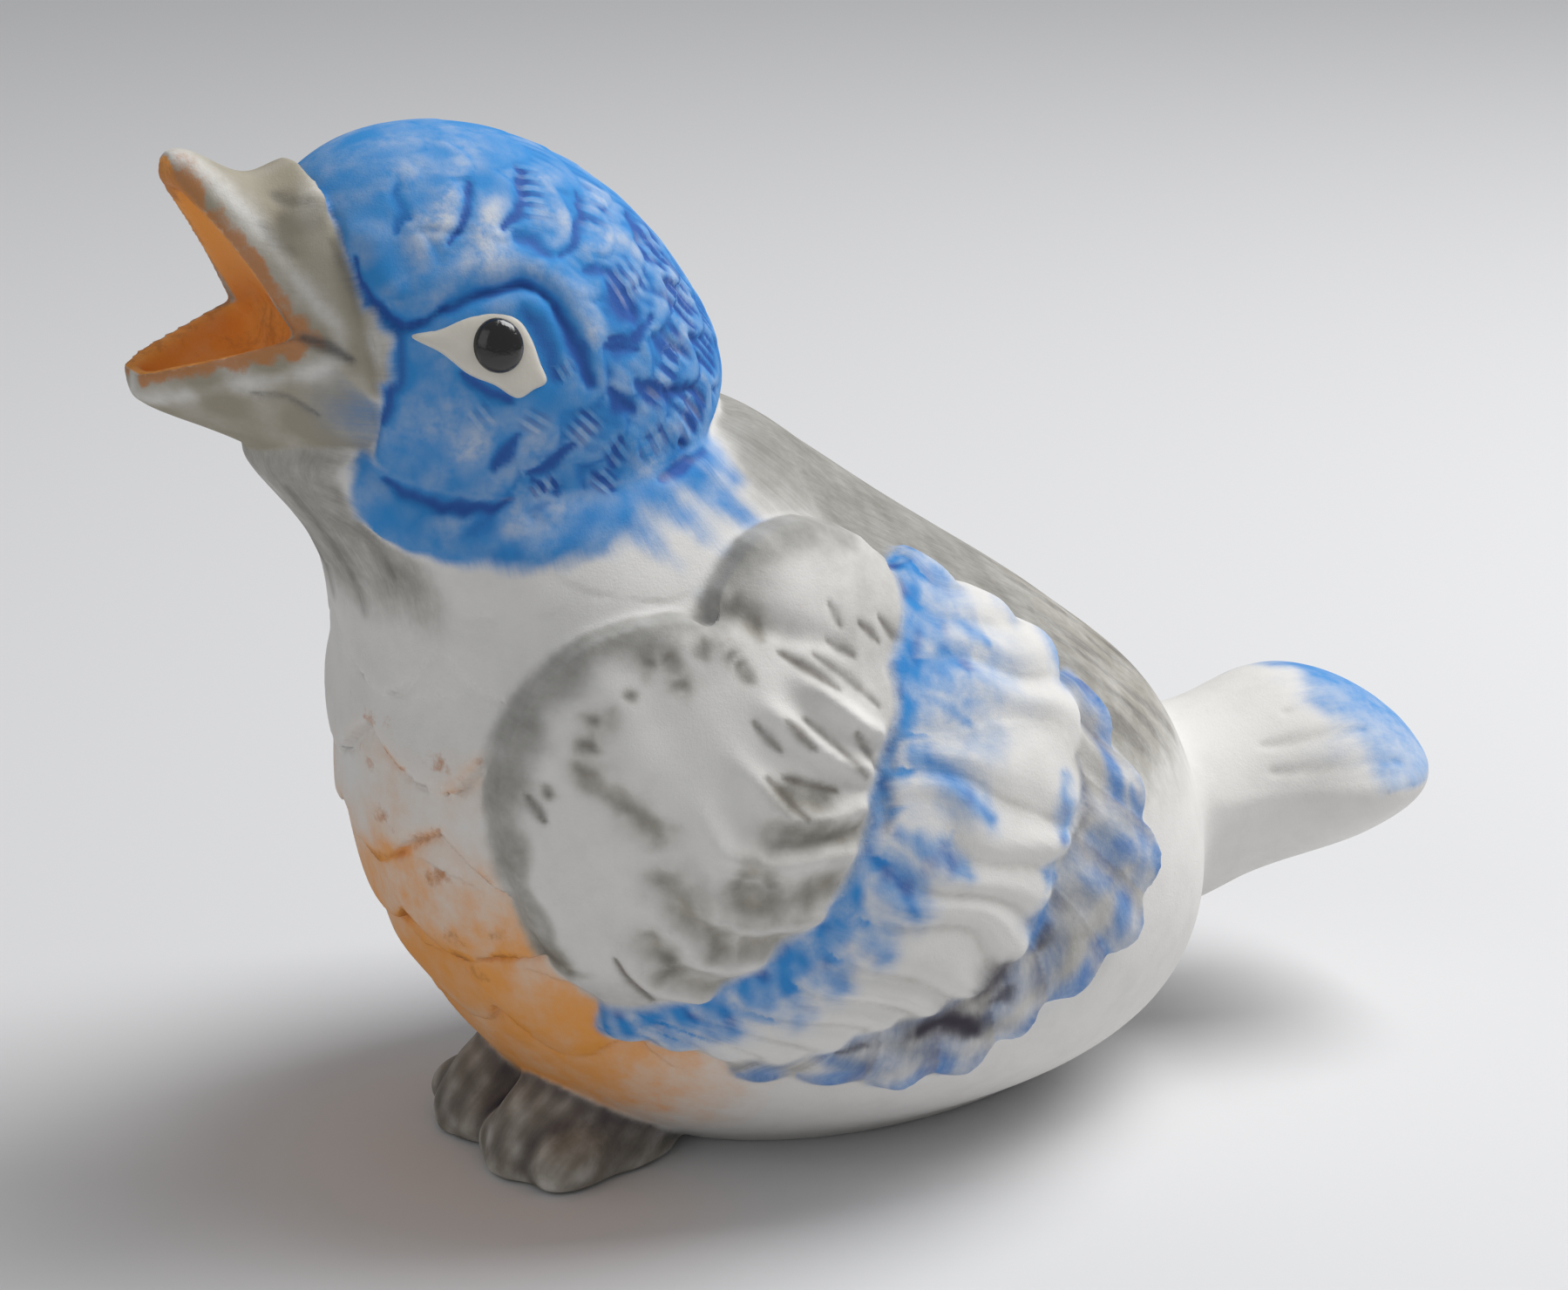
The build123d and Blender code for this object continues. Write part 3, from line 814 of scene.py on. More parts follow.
def tier_reach(spokes, angle):
    """The reach of a wing tier at an angle, run softly from spoke to spoke."""
    angles = np.array([s[0] for s in spokes], float)
    reaches = np.array([s[1] for s in spokes], float)
    index = np.clip(np.searchsorted(angles, angle) - 1, 0, len(angles) - 2)
    share = np.clip((angle - angles[index]) / (angles[index + 1] - angles[index]), 0, 1)
    ease = (1 - np.cos(math.pi * share)) / 2
    return reaches[index] + (reaches[index + 1] - reaches[index]) * ease


def feather_count(spokes, feathers, tip_angle):
    """Where a point lies across the feathers of a tier, counted from the top one."""
    start = spokes[-1][0]
    return (start - tip_angle) / (start - spokes[0][0]) * feathers


class Relief:
    """What the carving and the painting both need to know about the feathers."""

    def __init__(self, place, share, sizes, marks):
        self.place = place
        self.marks = marks
        self.share = share
        self.cavity = np.zeros(len(place.x))
        inner = tier_reach(SHOULDER_SPOKES, place.fan_angle)
        middle = tier_reach(COVERT_SPOKES, place.fan_angle)
        outer = tier_reach(FLIGHT_SPOKES, place.fan_angle)
        self.shoulder_out = place.fan_reach / inner
        self.covert_gap = place.fan_reach - inner
        self.covert_out = self.covert_gap / np.maximum(middle - inner, 2)
        self.flight_out = (place.fan_reach - middle) / np.maximum(outer - middle, 2)
        gather = 1 - 0.34 * np.clip(self.covert_out, 0, 1)
        tip_angle = COVERT_MIDDLE + (place.fan_angle - COVERT_MIDDLE) * 0.66 / gather
        tip_angle = tip_angle + 1.3 * wobble(place.folded, 13, 9)
        self.covert_run = feather_count(COVERT_SPOKES, sizes.covert_feathers, tip_angle)
        tip_angle = place.fan_angle - 6 * (1 - np.clip(self.flight_out, 0, 1))
        self.flight_run = feather_count(FLIGHT_SPOKES, sizes.flight_feathers, tip_angle)
        flat = np.stack([0 * place.y, place.y, place.z], 1)
        self.rim_gap, self.rim_run = path_gap(flat, upright(PANEL_RIM))
        self.notch_gap, self.notch_run = path_gap(flat, upright(PANEL_NOTCH))
        stir = [0 * place.y, wobble(flat, 2.6, 13) * 0.3, wobble(flat, 2.6, 14) * 0.3]
        self.flat = flat
        self.rough = flat + np.stack(stir, 1)
        self.panel_marks()
        self.traced()
        self.hood_edge()
        self.head_scales()
        self.mouth()

    def panel_marks(self):
        """How strongly a point of the wing panel lies on a ridge, a hollow, a short line or a spot."""
        self.ridges = np.zeros(len(self.rough))
        for path, width in PANEL_RIDGES:
            gap, run = path_gap(self.flat, upright(path))
            self.ridges = np.maximum(self.ridges, bell(gap, width) * ramp(run, -0.05, 0.4))
        self.hollows = np.zeros(len(self.rough))
        for path, width in PANEL_HOLLOWS:
            gap = path_gap(self.rough, upright(path))[0]
            soft = 0.6 * bell(gap, 1.1 * width) + 0.4 * bell(gap, 1.9 * width)
            self.hollows = np.maximum(self.hollows, soft)
        self.strokes = strokes_on(self.flat, self.marks.panel_strokes)
        self.spots = np.zeros(len(self.rough))
        for y, z, width in PANEL_SPOTS:
            gap = np.hypot(self.rough[:, 1] - y, self.rough[:, 2] - z)
            self.spots = np.maximum(self.spots, bell(gap, 1.15 * width))

    def traced(self):
        """How strongly a point lies on the strokes and wiped patches of head and wings."""
        folded = self.place.folded
        rough = folded + 0.16 * np.stack([wobble(folded, 2.4, 15 + k) for k in range(3)], 1)
        self.head_strokes = strokes_on(rough, self.marks.head_strokes)
        self.comb_run = np.zeros(len(folded))
        self.comb_mask = np.zeros(len(folded))
        for middle, along, across, long, wide, pitch in self.marks.head_combs:
            out = folded - middle
            run = out @ along
            step = out @ across
            rise = np.sqrt(np.maximum((out ** 2).sum(1) - run ** 2 - step ** 2, 0))
            mask = 1 - ramp(np.abs(run), 0.4 * long, 1.5 * long)
            mask *= 1 - ramp(np.abs(step), 0.7 * wide, 1.4 * wide)
            mask *= 1 - ramp(rise, 2, 3)
            better = mask > self.comb_mask
            self.comb_run = np.where(better, step / pitch, self.comb_run)
            self.comb_mask = np.maximum(self.comb_mask, mask)
        rough = folded + 0.25 * np.stack([wobble(folded, 3.0, 18 + k) for k in range(3)], 1)
        self.head_wipes = np.zeros(len(folded))
        for spot, width, force in self.marks.head_wipes:
            self.head_wipes += bell(np.linalg.norm(rough - spot, axis=1), width) * force
        rough = self.flat + 0.7 * (self.rough - self.flat)
        self.wing_blues = strokes_on(rough, self.marks.wing_blues)
        self.wing_darks_and_shades = strokes_on(rough, self.marks.wing_darks_and_shades)

    def hood_edge(self):
        """How far inside the blue hood a point lies, in millimetres, below zero outside it."""
        place = self.place
        turns = [p[0] for p in HOOD_EDGE]
        backs = [p[1] for p in HOOD_EDGE]
        edge = np.interp(place.head_turn, turns, backs)
        out = np.linalg.norm(place.points - np.array(HEAD_MIDDLE), axis=1)
        front = np.interp(place.head_back, [p[0] for p in HOOD_FRONT], [p[1] for p in HOOD_FRONT])
        chin = np.radians(front - place.head_turn) * THROAT_RADIUS
        self.hood = np.minimum(np.radians(edge - place.head_back) * np.minimum(out, HEAD_REACH), chin)

    def head_scales(self):
        """Rows of overlapping head feathers: distance from the tip line, and place in the feather."""
        place = self.place
        shift = wobble(place.folded, 12, 3) * 1.9
        swing = wobble(place.folded, 14, 4) * 3.2
        rows = (place.head_back + shift - SCALE_START) / SCALE_ROW
        row = np.clip(np.floor(rows), 0, len(SCALE_CENTRES) - 2).astype(int)
        part = rows - row
        centres = np.array(SCALE_CENTRES, float)
        turn = place.head_turn + swing
        step = np.where(row < BROAD_ROWS, BROAD_SCALE, NARROW_SCALE)
        count = (turn - centres[row]) / step
        across = count - np.floor(count + 0.5)
        tip = 1 - SCALE_TIP * (2 * across) ** 2
        under = part > tip
        next_step = np.where(row + 1 < BROAD_ROWS, BROAD_SCALE, NARROW_SCALE)
        next_count = (turn - centres[row + 1]) / next_step
        next_across = next_count - np.floor(next_count + 0.5)
        self.scale_across = np.where(under, next_across, across)
        self.scale_run = np.where(under, part - tip, part + SCALE_TIP * (2 * across) ** 2)
        own = np.where(under, np.floor(next_count + 0.5), np.floor(count + 0.5))
        row_of = np.where(under, row + 1, row)
        chance = np.sin(row_of * 12.9 + own * 78.2) * 43.7
        self.scale_chance = chance - np.floor(chance)
        self.scale_edge = np.abs(part - tip) * SCALE_ROW * math.radians(1) * ROW_RADIUS
        eye_gap = np.linalg.norm(place.folded - EYE_SPOT, axis=1)
        cheek = 1 - 0.8 * ramp(place.head_turn, *CHEEK_TURN) * (1 - ramp(place.head_back, *CHEEK_BACK))
        crown = 0.3 + 0.7 * ramp(place.head_turn, *CROWN_TURN)
        seen = ramp(place.side, *STROKED_SIDE) * ramp(place.y, *STROKED_BACK)
        self.scale_mask = (ramp(place.head_back, *SCALE_FRONT) * ramp(eye_gap, *SCALE_EYE_GAP)
                           * cheek * crown * ramp(self.hood, *SCALE_HEM) * (1 - 0.5 * seen))
        wave = self.scale_across * np.where(row_of < BROAD_ROWS, 5.6, 4.8) + self.scale_chance * 0.6
        lines = bell((wave % 1) - 0.5, 0.27) * (1 - ramp(np.abs(self.scale_across), 0.28, 0.44))
        reach = 0.72 + 0.2 * np.sin(row_of * 5.1 + np.floor(wave) * 3.7)
        combed = ramp(place.head_back, *COMB_BACK)
        self.comb = lines * (1 - ramp(self.scale_run, 0.65 * reach, reach)) * combed * (1 - 0.7 * seen)

    def mouth(self):
        """How far a point faces into the open beak."""
        place = self.place
        middle = np.array(MOUTH_MIDDLE)
        ahead = np.array(MOUTH_WAY)
        along = np.clip((place.points - middle) @ ahead / (ahead @ ahead), -0.1, 1.2)
        inward = middle + along[:, None] * ahead - place.points
        inward /= np.linalg.norm(inward, axis=1)[:, None] + 1e-6
        self.facing = (inward * place.normals).sum(1)
        roof = ramp(self.facing, 0.0, 0.4) * ramp(place.y, *MOUTH_FRONT)
        roof *= 1 - ramp(place.side, *MOUTH_SIDE)
        back = np.linalg.norm((place.points - MOUTH_BACK) / MOUTH_BALL, axis=1)
        near = np.maximum(ramp(self.facing, -0.5, -0.1), 1 - ramp(place.side, *THROAT_SIDE))
        self.inside = np.maximum(roof, (1 - ramp(back, 1.3, 1.6)) * near)

    def beak(self):
        """The share of both halves of the beak."""
        return self.share["upper_beak"] + self.share["lower_beak"]

    def breast(self):
        """Soft scallops of the breast: distance from the tip line, place in the scallop and strength."""
        place = self.place
        around = np.arctan2(place.x, -(place.y + 8)) * 30 + wobble(place.points, 21, 21) * 1.2
        rows = (SCALLOP_TOP - place.z + wobble(place.points, 17, 22)) / SCALLOP_ROW
        row = np.floor(rows)
        part = rows - row
        across = (around - 3) / SCALLOP_WIDTH + 0.5 * (row % 2)
        across = across - np.floor(across + 0.5)
        tip = 1 - SCALLOP_TIP * (2 * across) ** 2
        under = part > tip
        run = np.where(under, part - tip, part + SCALLOP_TIP * (2 * across) ** 2)
        mask = ramp(place.y, *SCALLOP_FRONT) * ramp(place.z, *SCALLOP_FOOT)
        mask *= 1 - 0.8 * ramp(place.z, *SCALLOP_FADE)
        mask *= 1 - ramp(place.z, *SCALLOP_END)
        return np.abs(part - tip) * SCALLOP_ROW, run, mask * self.share["body"]


def side_patch(place, y, z, width):
    """A soft patch round a place in Y and Z."""
    return bell(np.hypot(place.y - y, place.z - z), width)


def lapped(run):
    """The back of each feather of a tier: a soft swelling that is fuller at its lower edge."""
    part = run - np.floor(run)
    own = 1 + 0.3 * np.sin(np.floor(run) * 2.9)
    return -0.5 * np.cos(2 * math.pi * part ** 1.25) * own


def carve_wings(relief, sizes):
    """Ridges of the wing feathers, in millimetres along the outward direction."""
    share = relief.share
    place = relief.place
    height = sizes.feather_height / MM
    total = np.zeros(len(place.x))
    ends = (1 - 0.8 * ramp(place.fan_angle, *FEATHER_TOP)) * (1 - 0.6 * ramp(place.fan_angle, *FEATHER_FOOT))
    for node, run, out in (
        ("wing_coverts", relief.covert_run, relief.covert_out),
        ("wing_flights", relief.flight_run, relief.flight_out),
    ):
        total += share[node] * lapped(run) * height * 0.4 * ramp(out, 0.0, 0.5) * ends
    for y, z, width, lift in COVERT_OVALS:
        total += share["wing_coverts"] * side_patch(place, y, z, width) * lift
    lumps = 0.18 * wobble(relief.flat, 8, 31)
    for y, z, width, lift in PANEL_LUMPS:
        lumps += side_patch(place, y, z, width) * lift
    lumps += (RIDGE_RISE * relief.ridges - HOLLOW_DEPTH * relief.hollows
              - PANEL_STROKE_DEPTH * relief.strokes - SPOT_DEPTH * relief.spots)
    lumps -= bell(relief.notch_gap, 1.0) * NOTCH_DEPTH * (1 - relief.notch_run * 0.7)
    lumps += bell(relief.rim_gap - 1.6, 1.3) * RIM_RISE
    lumps -= ramp(place.y, *PANEL_FRONT) * (1 - ramp(place.z, *PANEL_TOP)) * PANEL_FRONT_DEPTH
    lumps -= PANEL_EDGE_DEPTH * ramp(relief.shoulder_out, 0.86, 1.0)
    return total + share["wing_shoulder"] * lumps


def carve_head(relief, sizes):
    """Feather rows and folds of the head, the edge of its hood, and the knobs and lines of the beak."""
    place = relief.place
    head = relief.share["head"]
    skin = head + relief.share["body"]
    mask = relief.scale_mask * skin
    step = sizes.scale_height / MM
    comb = sizes.comb_depth / MM
    tilt = np.clip(relief.scale_run, 0, 1.2) - 0.6
    groove = bell(relief.scale_edge, 0.45) * (0.5 + 0.5 * relief.scale_chance)
    total = mask * (tilt * step - relief.comb * comb - groove * SCALE_GROOVE_DEPTH)
    gap, run = path_gap(place.folded, relief.marks.brow_fold)
    total -= head * bell(gap, 0.5) * BROW_DEPTH * ramp(run, -0.1, 0.2) * (1 - 0.8 * ramp(run, 0.6, 1.0))
    above = bell(gap - 2.0, 1.4) * ramp(place.z, *BROW_HEIGHT)
    total += head * above * BROW_RISE
    gap = path_gap(place.folded, relief.marks.cheek_fold)[0]
    total += bell(gap - 1.6, 1.1) * CHEEK_RISE * ramp(place.z, *CHEEK_HEIGHT)
    wiped = np.minimum(relief.head_wipes, 1)
    total += skin * (WIPE_RISE * wiped - HEAD_STROKE_DEPTH * relief.head_strokes)
    ledge = ramp(relief.hood, *LEDGE_EDGE) * HOOD_RISE * (1 - ramp(relief.hood, *LEDGE_WIDTH))
    total += skin * ledge * ramp(place.y, *LEDGE_BACK)
    total -= BEAK_SEAM_DEPTH * beak_seam(relief)
    knob = bell(np.linalg.norm(place.folded - NOSTRIL_KNOB, axis=1), 2.0)
    lines = strokes_on(place.folded, BEAK_SHADE_STROKES)
    total += relief.beak() * (KNOB_RISE * knob - BEAK_STROKE_DEPTH * lines)
    gap = path_gap(place.folded, GAPE_CORNER)[0]
    total -= head * bell(gap - 1.7, 0.6) * GAPE_DEPTH
    return total


def beak_seam(relief):
    """The crease where the beak leaves the head."""
    return np.clip(relief.share["head"] * relief.beak() * 4, 0, 1)


def carve_body(relief):
    """Soft scallops on the breast, a dip along the back and the vent in the base."""
    place = relief.place
    edge, run, mask = relief.breast()
    tilt = np.clip(run, 0, 1.2) - 0.6
    total = mask * (tilt * SCALLOP_RISE - bell(edge, 0.9) * SCALLOP_GROOVE_DEPTH)
    saddle = ramp(place.y, *SADDLE_START) * (1 - ramp(place.y, *SADDLE_END)) * ramp(place.z, *SADDLE_HEIGHT)
    total -= relief.share["body"] * saddle * SADDLE_DEPTH * (1 - ramp(place.side, *SADDLE_SIDE))
    gap = np.hypot(place.x - VENT_PLACE[0], place.y - VENT_PLACE[1])
    total -= VENT_DEPTH * (gap < VENT_RADIUS) * (place.z < 1)
    return total


def carve_tail(relief):
    """Shallow grooves that run to the tail's tip, and its rounded edge."""
    place = relief.place
    behind = place.normals[:, 1]
    up = place.normals[:, 2]
    lines = strokes_on(place.folded, TAIL_LINES) * ramp(up, 0.1, 0.45)
    full = ramp(place.y, *TAIL_FULL) * (1 - behind ** 2) * (1 - 0.6 * np.maximum(up, 0))
    return relief.share["tail"] * (TAIL_RISE * full - TAIL_GROOVE_DEPTH * lines)


def paint_head(relief, layers):
    """Blue hood, deeper in carved lines and wiped on raised tips."""
    place = relief.place
    ragged = wobble(place.points, 3.1, 41) * 0.2
    nape = ramp(place.y, *NAPE_BACK) * ramp(place.head_turn, *NAPE_TURN)
    strokes = wobble(np.stack([place.head_turn * 0.6, place.head_back * 0.1, place.side * 0], 1), 5.5, 42)
    edge = relief.hood + ragged + nape * (0.8 * strokes + 0.5)
    soft = 0.7 + 1.2 * nape
    hood = ramp(edge, -soft, soft) * (relief.share["head"] + relief.share["body"]) * (1 - relief.inside)
    corner_gap = path_gap(place.folded, GAPE_CORNER)[0]
    corner = 1 - ramp(corner_gap + ragged, 0.4, 1.6)
    hood *= 1 - corner
    layers["taupe"] += relief.share["head"] * corner * 0.6
    layers["dark"] += relief.share["head"] * corner * 0.12
    layers["blue"] += hood
    scale = relief.scale_mask
    bold = 0.45 + 0.55 * relief.scale_chance
    pooled = np.clip(relief.comb * 0.95 + bell(relief.scale_edge, 0.45) * 0.5 * bold, 0, 1) * scale
    pooled = np.maximum(pooled, relief.head_strokes)
    creases = np.maximum(beak_seam(relief) * 0.7, 0.6 * bell(corner_gap - 1.8, 0.5))
    pooled = np.maximum(pooled, creases)
    root = ramp(place.head_back, *DEEP_BACK) * 0.2
    layers["deep"] += hood * np.clip(pooled + root, 0, 1)
    tips = scale * ramp(relief.scale_run, 0.3, 0.8) * (1 - bell(relief.scale_edge, 0.8))
    tips *= relief.scale_chance
    tips *= 1 - 0.5 * ramp(place.head_back, *PALE_TIP_BACK)
    mottle = 0.14 + 0.12 * wobble(place.folded, 4.5, 43)
    layers["wipe"] += hood * np.clip(mottle + tips * 0.7 + relief.head_wipes * 0.7 - pooled, 0, 1)


def paint_flights(relief, layers):
    """Grey flight feathers with blue tips, and dark strokes on both lower tiers, partly painted shade in
    their creases.
    """
    place = relief.place
    flight = relief.share["wing_flights"]
    part = relief.flight_run - np.floor(relief.flight_run)
    hollow = 1 - ramp(part, 0.05, 0.4)
    patch = wobble(place.points, 5.0, 55)
    tips = ramp(relief.flight_out + 0.14 * patch, 0.6, 1.05) * 0.35 * ramp(part, 0.0, 0.4)
    violet = np.clip(0.12 + 0.2 * patch, 0, 0.4)
    layers["blue"] += flight * np.clip(np.maximum(tips + violet, relief.wing_blues), 0, 1)
    layers["deep"] += flight * (0.35 + 0.3 * hollow)
    fill = np.clip(0.42 + 0.2 * hollow + 0.14 * wobble(place.points, 4.2, 56), 0, 1)
    layers["grey"] += flight * fill * (1 - 0.4 * ramp(relief.flight_out, 0.6, 1.0))
    covert = relief.share["wing_coverts"]
    layers["dark"] += flight * relief.wing_darks_and_shades + covert * relief.wing_darks_and_shades * 0.8


def paint_panel(relief, layers):
    """White shoulder panel with a grey rim and grey brown in its hollows, lines and spots."""
    place = relief.place
    panel = relief.share["wing_shoulder"]
    broad = ramp(relief.rim_run, 0.12, 0.4)
    band = 1 - ramp(relief.rim_gap + 0.3 * wobble(relief.flat, 5, 57), 0.4, 1.5 + 1.7 * broad)
    grey = band * (0.42 + 0.2 * broad)
    crest = ramp(place.z, *PANEL_CREST) + side_patch(place, *PANEL_GREY)
    # A painted highlight at the crest, where the grey and the haze are left off.
    bare = side_patch(place, *PANEL_HIGHLIGHT)
    grey = np.maximum(grey, crest * 0.6 * (1 - bare))
    grey = np.maximum(grey, bell(relief.notch_gap, 1.3) * 0.45 * (1 - relief.notch_run))
    grey = np.maximum(grey, relief.hollows * (0.42 + 0.2 * wobble(relief.flat, 3, 58)))
    grey = np.maximum(grey, relief.spots * 0.5)
    # Painted shade along the panel's outer edge, where it steps down onto the coverts, kept off the ridges.
    grey = np.maximum(grey, 0.3 * ramp(relief.shoulder_out, 0.8, 1.0) * (1 - 0.7 * relief.ridges))
    haze = ramp(place.fan_angle, *PANEL_HAZE) * ramp(relief.shoulder_out, 0.5, 0.8) * (1 - bare)
    grey = np.maximum(grey, haze * 0.28)
    layers["grey"] += panel * np.clip(grey, 0, 1)
    layers["dark"] += panel * np.clip(relief.strokes * 0.42 + relief.spots ** 2 * 0.2, 0, 1)
    brown = relief.spots * 0.6 + relief.strokes * 0.5 + relief.hollows * 0.6 + band * (1 - broad) * 0.4
    layers["taupe"] += panel * np.clip(brown, 0, 1)


def paint_coverts(relief, layers):
    """Blue that is dense under the shoulder panel and runs out along the hollows between feathers."""
    place = relief.place
    covert = relief.share["wing_coverts"]
    part = relief.covert_run - np.floor(relief.covert_run)
    hollow = 1 - ramp(part, 0.05, 0.4)
    patch = wobble(place.folded, 4.5, 51)
    low = ramp(place.fan_angle, *COVERT_LOW)
    top = ramp(place.fan_angle, *COVERT_HIGH)
    spread = relief.covert_gap + 0.7 * patch - 1.6 * hollow
    band = 1 - ramp(spread, 1.3 + 0.9 * low + 0.6 * top, 3.8 + 1.8 * low + 2.6 * top)
    wash = (1 - ramp(relief.covert_gap, *COVERT_WASH)) * 0.2 * np.clip(0.8 + 0.5 * patch, 0, 1)
    upper = (1 - ramp(relief.covert_out, 0.4, 0.95)) * 0.85 * np.clip(0.9 + 0.4 * patch, 0, 1) * top
    wash = np.maximum(wash, upper)
    layers["blue"] += covert * np.clip(np.maximum(np.maximum(band, relief.wing_blues), wash), 0, 1)
    mottle = wobble(place.folded, 2.4, 52)
    layers["wipe"] += covert * np.clip(0.2 + 0.3 * mottle, 0, 1)
    layers["deep"] += covert * np.clip(0.3 * wobble(place.folded, 3.4, 53), 0, 1)
    # Painted shade in the crease under the shoulder panel: deep blue, with dark on the lower feathers.
    crease = 1 - ramp(relief.covert_gap, *COVERT_CREASE_SHADE)
    layers["deep"] += covert * np.clip(crease * 0.85 + relief.wing_blues ** 2 * 0.3, 0, 1)
    layers["dark"] += covert * crease * 0.35 * ramp(place.fan_angle, *COVERT_SHADE)
    # Painted shadow lines, grey and taupe, where each feather drops to the next.
    shadow_line = bell(part, 0.1) + bell(part - 1, 0.1)
    layers["grey"] += covert * shadow_line * ramp(relief.covert_out, 0.15, 0.5) * 0.1
    layers["taupe"] += covert * shadow_line * ramp(relief.covert_out, 0.15, 0.5) * 0.15


def paint_body(relief, layers):
    """Orange breast with rust in its scallops, grey bib and grey back."""
    place = relief.place
    body = relief.share["body"]
    edge, _, mask = relief.breast()
    front = ramp(place.y, *ORANGE_FRONT)
    sink = wobble(place.points, 14, 61) * 2.5
    layers["orange"] += (body * front * ramp(place.z + sink, *ORANGE_HEIGHT)
                         * ramp(place.z, *ORANGE_FOOT) * 0.9)
    patch = ramp(wobble(place.points, 6, 63), 0.1, 0.9)
    lines = bell(edge, 1.0) * mask * ramp(place.z, *RUST_HEIGHT)
    layers["rust"] += np.clip(lines * patch * 0.75, 0, 1)
    layers["orange"] += lines * 0.45 * ramp(place.z, *RUST_HEIGHT) * patch
    stir = wobble(place.points, 3, 64) * 0.5
    for spot in BREAST_SPOTS:
        gap = np.linalg.norm((place.points - spot) * (0.7, 0.7, 1.2), axis=1) + stir
        layers["rust"] += body * bell(gap, 1.3) * 0.55
    flare = (67 - place.z) * 0.3
    bib = (1 - ramp(place.side, 7 + flare, 11 + flare)) * ramp(place.y, *BIB_FRONT)
    bib *= ramp(place.z, *BIB_HEIGHT) * (1 - ramp(relief.hood, *HOOD_HEM))
    layers["grey"] += body * np.clip(bib * 0.45 + strokes_on(place.folded, BIB_STROKES) * 0.4, 0, 1)
    layers["taupe"] += body * bib * 0.3
    reach = 12 + 11 * ramp(place.y, *BACK_WIDER) - 8 * ramp(place.y, *BACK_NARROWER)
    back = ramp(place.y, *BACK_START) * (1 - ramp(place.side, reach, reach + 8))
    back *= 1 - ramp(place.y, *BACK_END)
    back *= ramp(place.z, *BACK_HEIGHT) * (1 - ramp(relief.hood, *HOOD_HEM))
    rump = ramp(place.y, *RUMP_START)
    streaks = ramp(wobble(place.points * (1.6, 0.4, 0.4), 4, 65), -0.3, 0.8)
    layers["grey"] += body * back * (0.72 - 0.3 * rump)
    layers["taupe"] += body * back * (0.25 + 0.3 * rump)
    layers["dark"] += body * back * rump * streaks * 0.3


def paint_tail(relief, layers):
    """White tail with a brushed blue tip."""
    place = relief.place
    tail = relief.share["tail"]
    top = ramp(place.normals[:, 2], -0.05, 0.25)
    lines = strokes_on(place.folded, TAIL_LINES) * top
    patch = wobble(place.points, 5, 82)
    start = place.y - 0.6 * np.maximum(place.x - 9, 0)
    blue = ramp(start + 1.2 * patch, *TAIL_BLUE) * (1 - 0.3 * ramp(place.x, *TAIL_THIN_SIDE))
    layers["blue"] += tail * np.clip(blue + lines * ramp(place.y, *BLUE_LINE_START) * 0.3, 0, 1) * top
    deep = 0.25 * ramp(patch, 0.0, 0.8) * (1 - ramp(place.x, *TAIL_DEEP_SIDE))
    layers["deep"] += tail * (lines * 0.5 + deep)
    layers["wipe"] += tail * (0.15 + 0.3 * ramp(place.x, *TAIL_WIPED_SIDE))
    layers["grey"] += tail * lines * (1 - ramp(place.y, *GREY_LINE_END)) * 0.3


def paint_beak(relief, layers):
    """Grey brown beak with rust on its rims, and an orange mouth."""
    place = relief.place
    beak = relief.beak()
    both = beak + relief.share["head"]
    layers["orange"] += both * relief.inside * 1.3
    # Painted shade at the back of the mouth: rust laid deeper inside, round the ball at the back.
    throat = bell(np.linalg.norm((place.points - MOUTH_BACK) * (1, 0.6, 1), axis=1), 5.0)
    layers["rust"] += both * relief.inside * throat * 0.55
    rim_gap = np.minimum(path_gap(place.folded, UPPER_RIM)[0], path_gap(place.folded, LOWER_RIM)[0])
    outside = 1 - relief.inside
    cloud = wobble(place.points, 6, 91)
    # A painted highlight along the ridge beside the rims, with cloudy tone, thins the taupe.
    pale_highlight_and_tone = bell(rim_gap - 2.6, 0.8) * 0.5 + 0.16 * cloud
    layers["taupe"] += beak * outside * np.clip(0.92 - pale_highlight_and_tone, 0, 1)
    rim = 1 - ramp(rim_gap + 0.3 * wobble(place.points, 2, 92), 0.5, 1.9)
    tip = bell(np.linalg.norm(place.folded - BEAK_TIP, axis=1), 2.6)
    edges = np.clip(rim * (0.45 + 0.45 * outside) + tip * 0.9, 0, 1)
    layers["rust"] += beak * edges * ramp(place.y, *RUST_FRONT)
    shades = strokes_on(place.folded, BEAK_SHADE_STROKES)
    layers["grey"] += both * outside * shades * 0.7
    layers["dark"] += both * outside * shades ** 2 * 0.4
    root = bell(np.linalg.norm(place.folded - BEAK_ROOT, axis=1), 3.4)
    layers["blue"] += relief.share["lower_beak"] * root * 0.4


def paint_feet(relief, layers):
    """Grey brown feet, with painted shade in their hollows and a painted highlight on the raised toes."""
    foot = relief.share["foot"]
    # Painted highlight on the raised toes, where taupe and dark are thinned, and painted shade in the
    # hollows, where dark is laid thicker.
    raised_highlight = np.clip(-relief.cavity, 0, 1)
    sunk = np.maximum(relief.cavity, 0)
    cloud = wobble(relief.place.points, 2.8, 93)
    layers["taupe"] += foot * np.clip(0.95 - 0.5 * raised_highlight + 0.15 * cloud, 0, 1)
    layers["dark"] += foot * np.clip(0.58 + 0.08 * cloud + 1.3 * sunk - 0.75 * raised_highlight, 0, 1)


def paint(relief):
    """The layers of paint over the whole skin, each between 0 and 1."""
    names = [name for channels in PAINT_CHANNELS for name in channels]
    layers = {name: np.zeros(len(relief.place.x)) for name in names}
    for layer_on in (paint_head, paint_coverts, paint_flights, paint_panel, paint_body, paint_tail,
                     paint_beak, paint_feet):
        layer_on(relief, layers)
    return {name: np.clip(layers[name], 0, 1) for name in names}


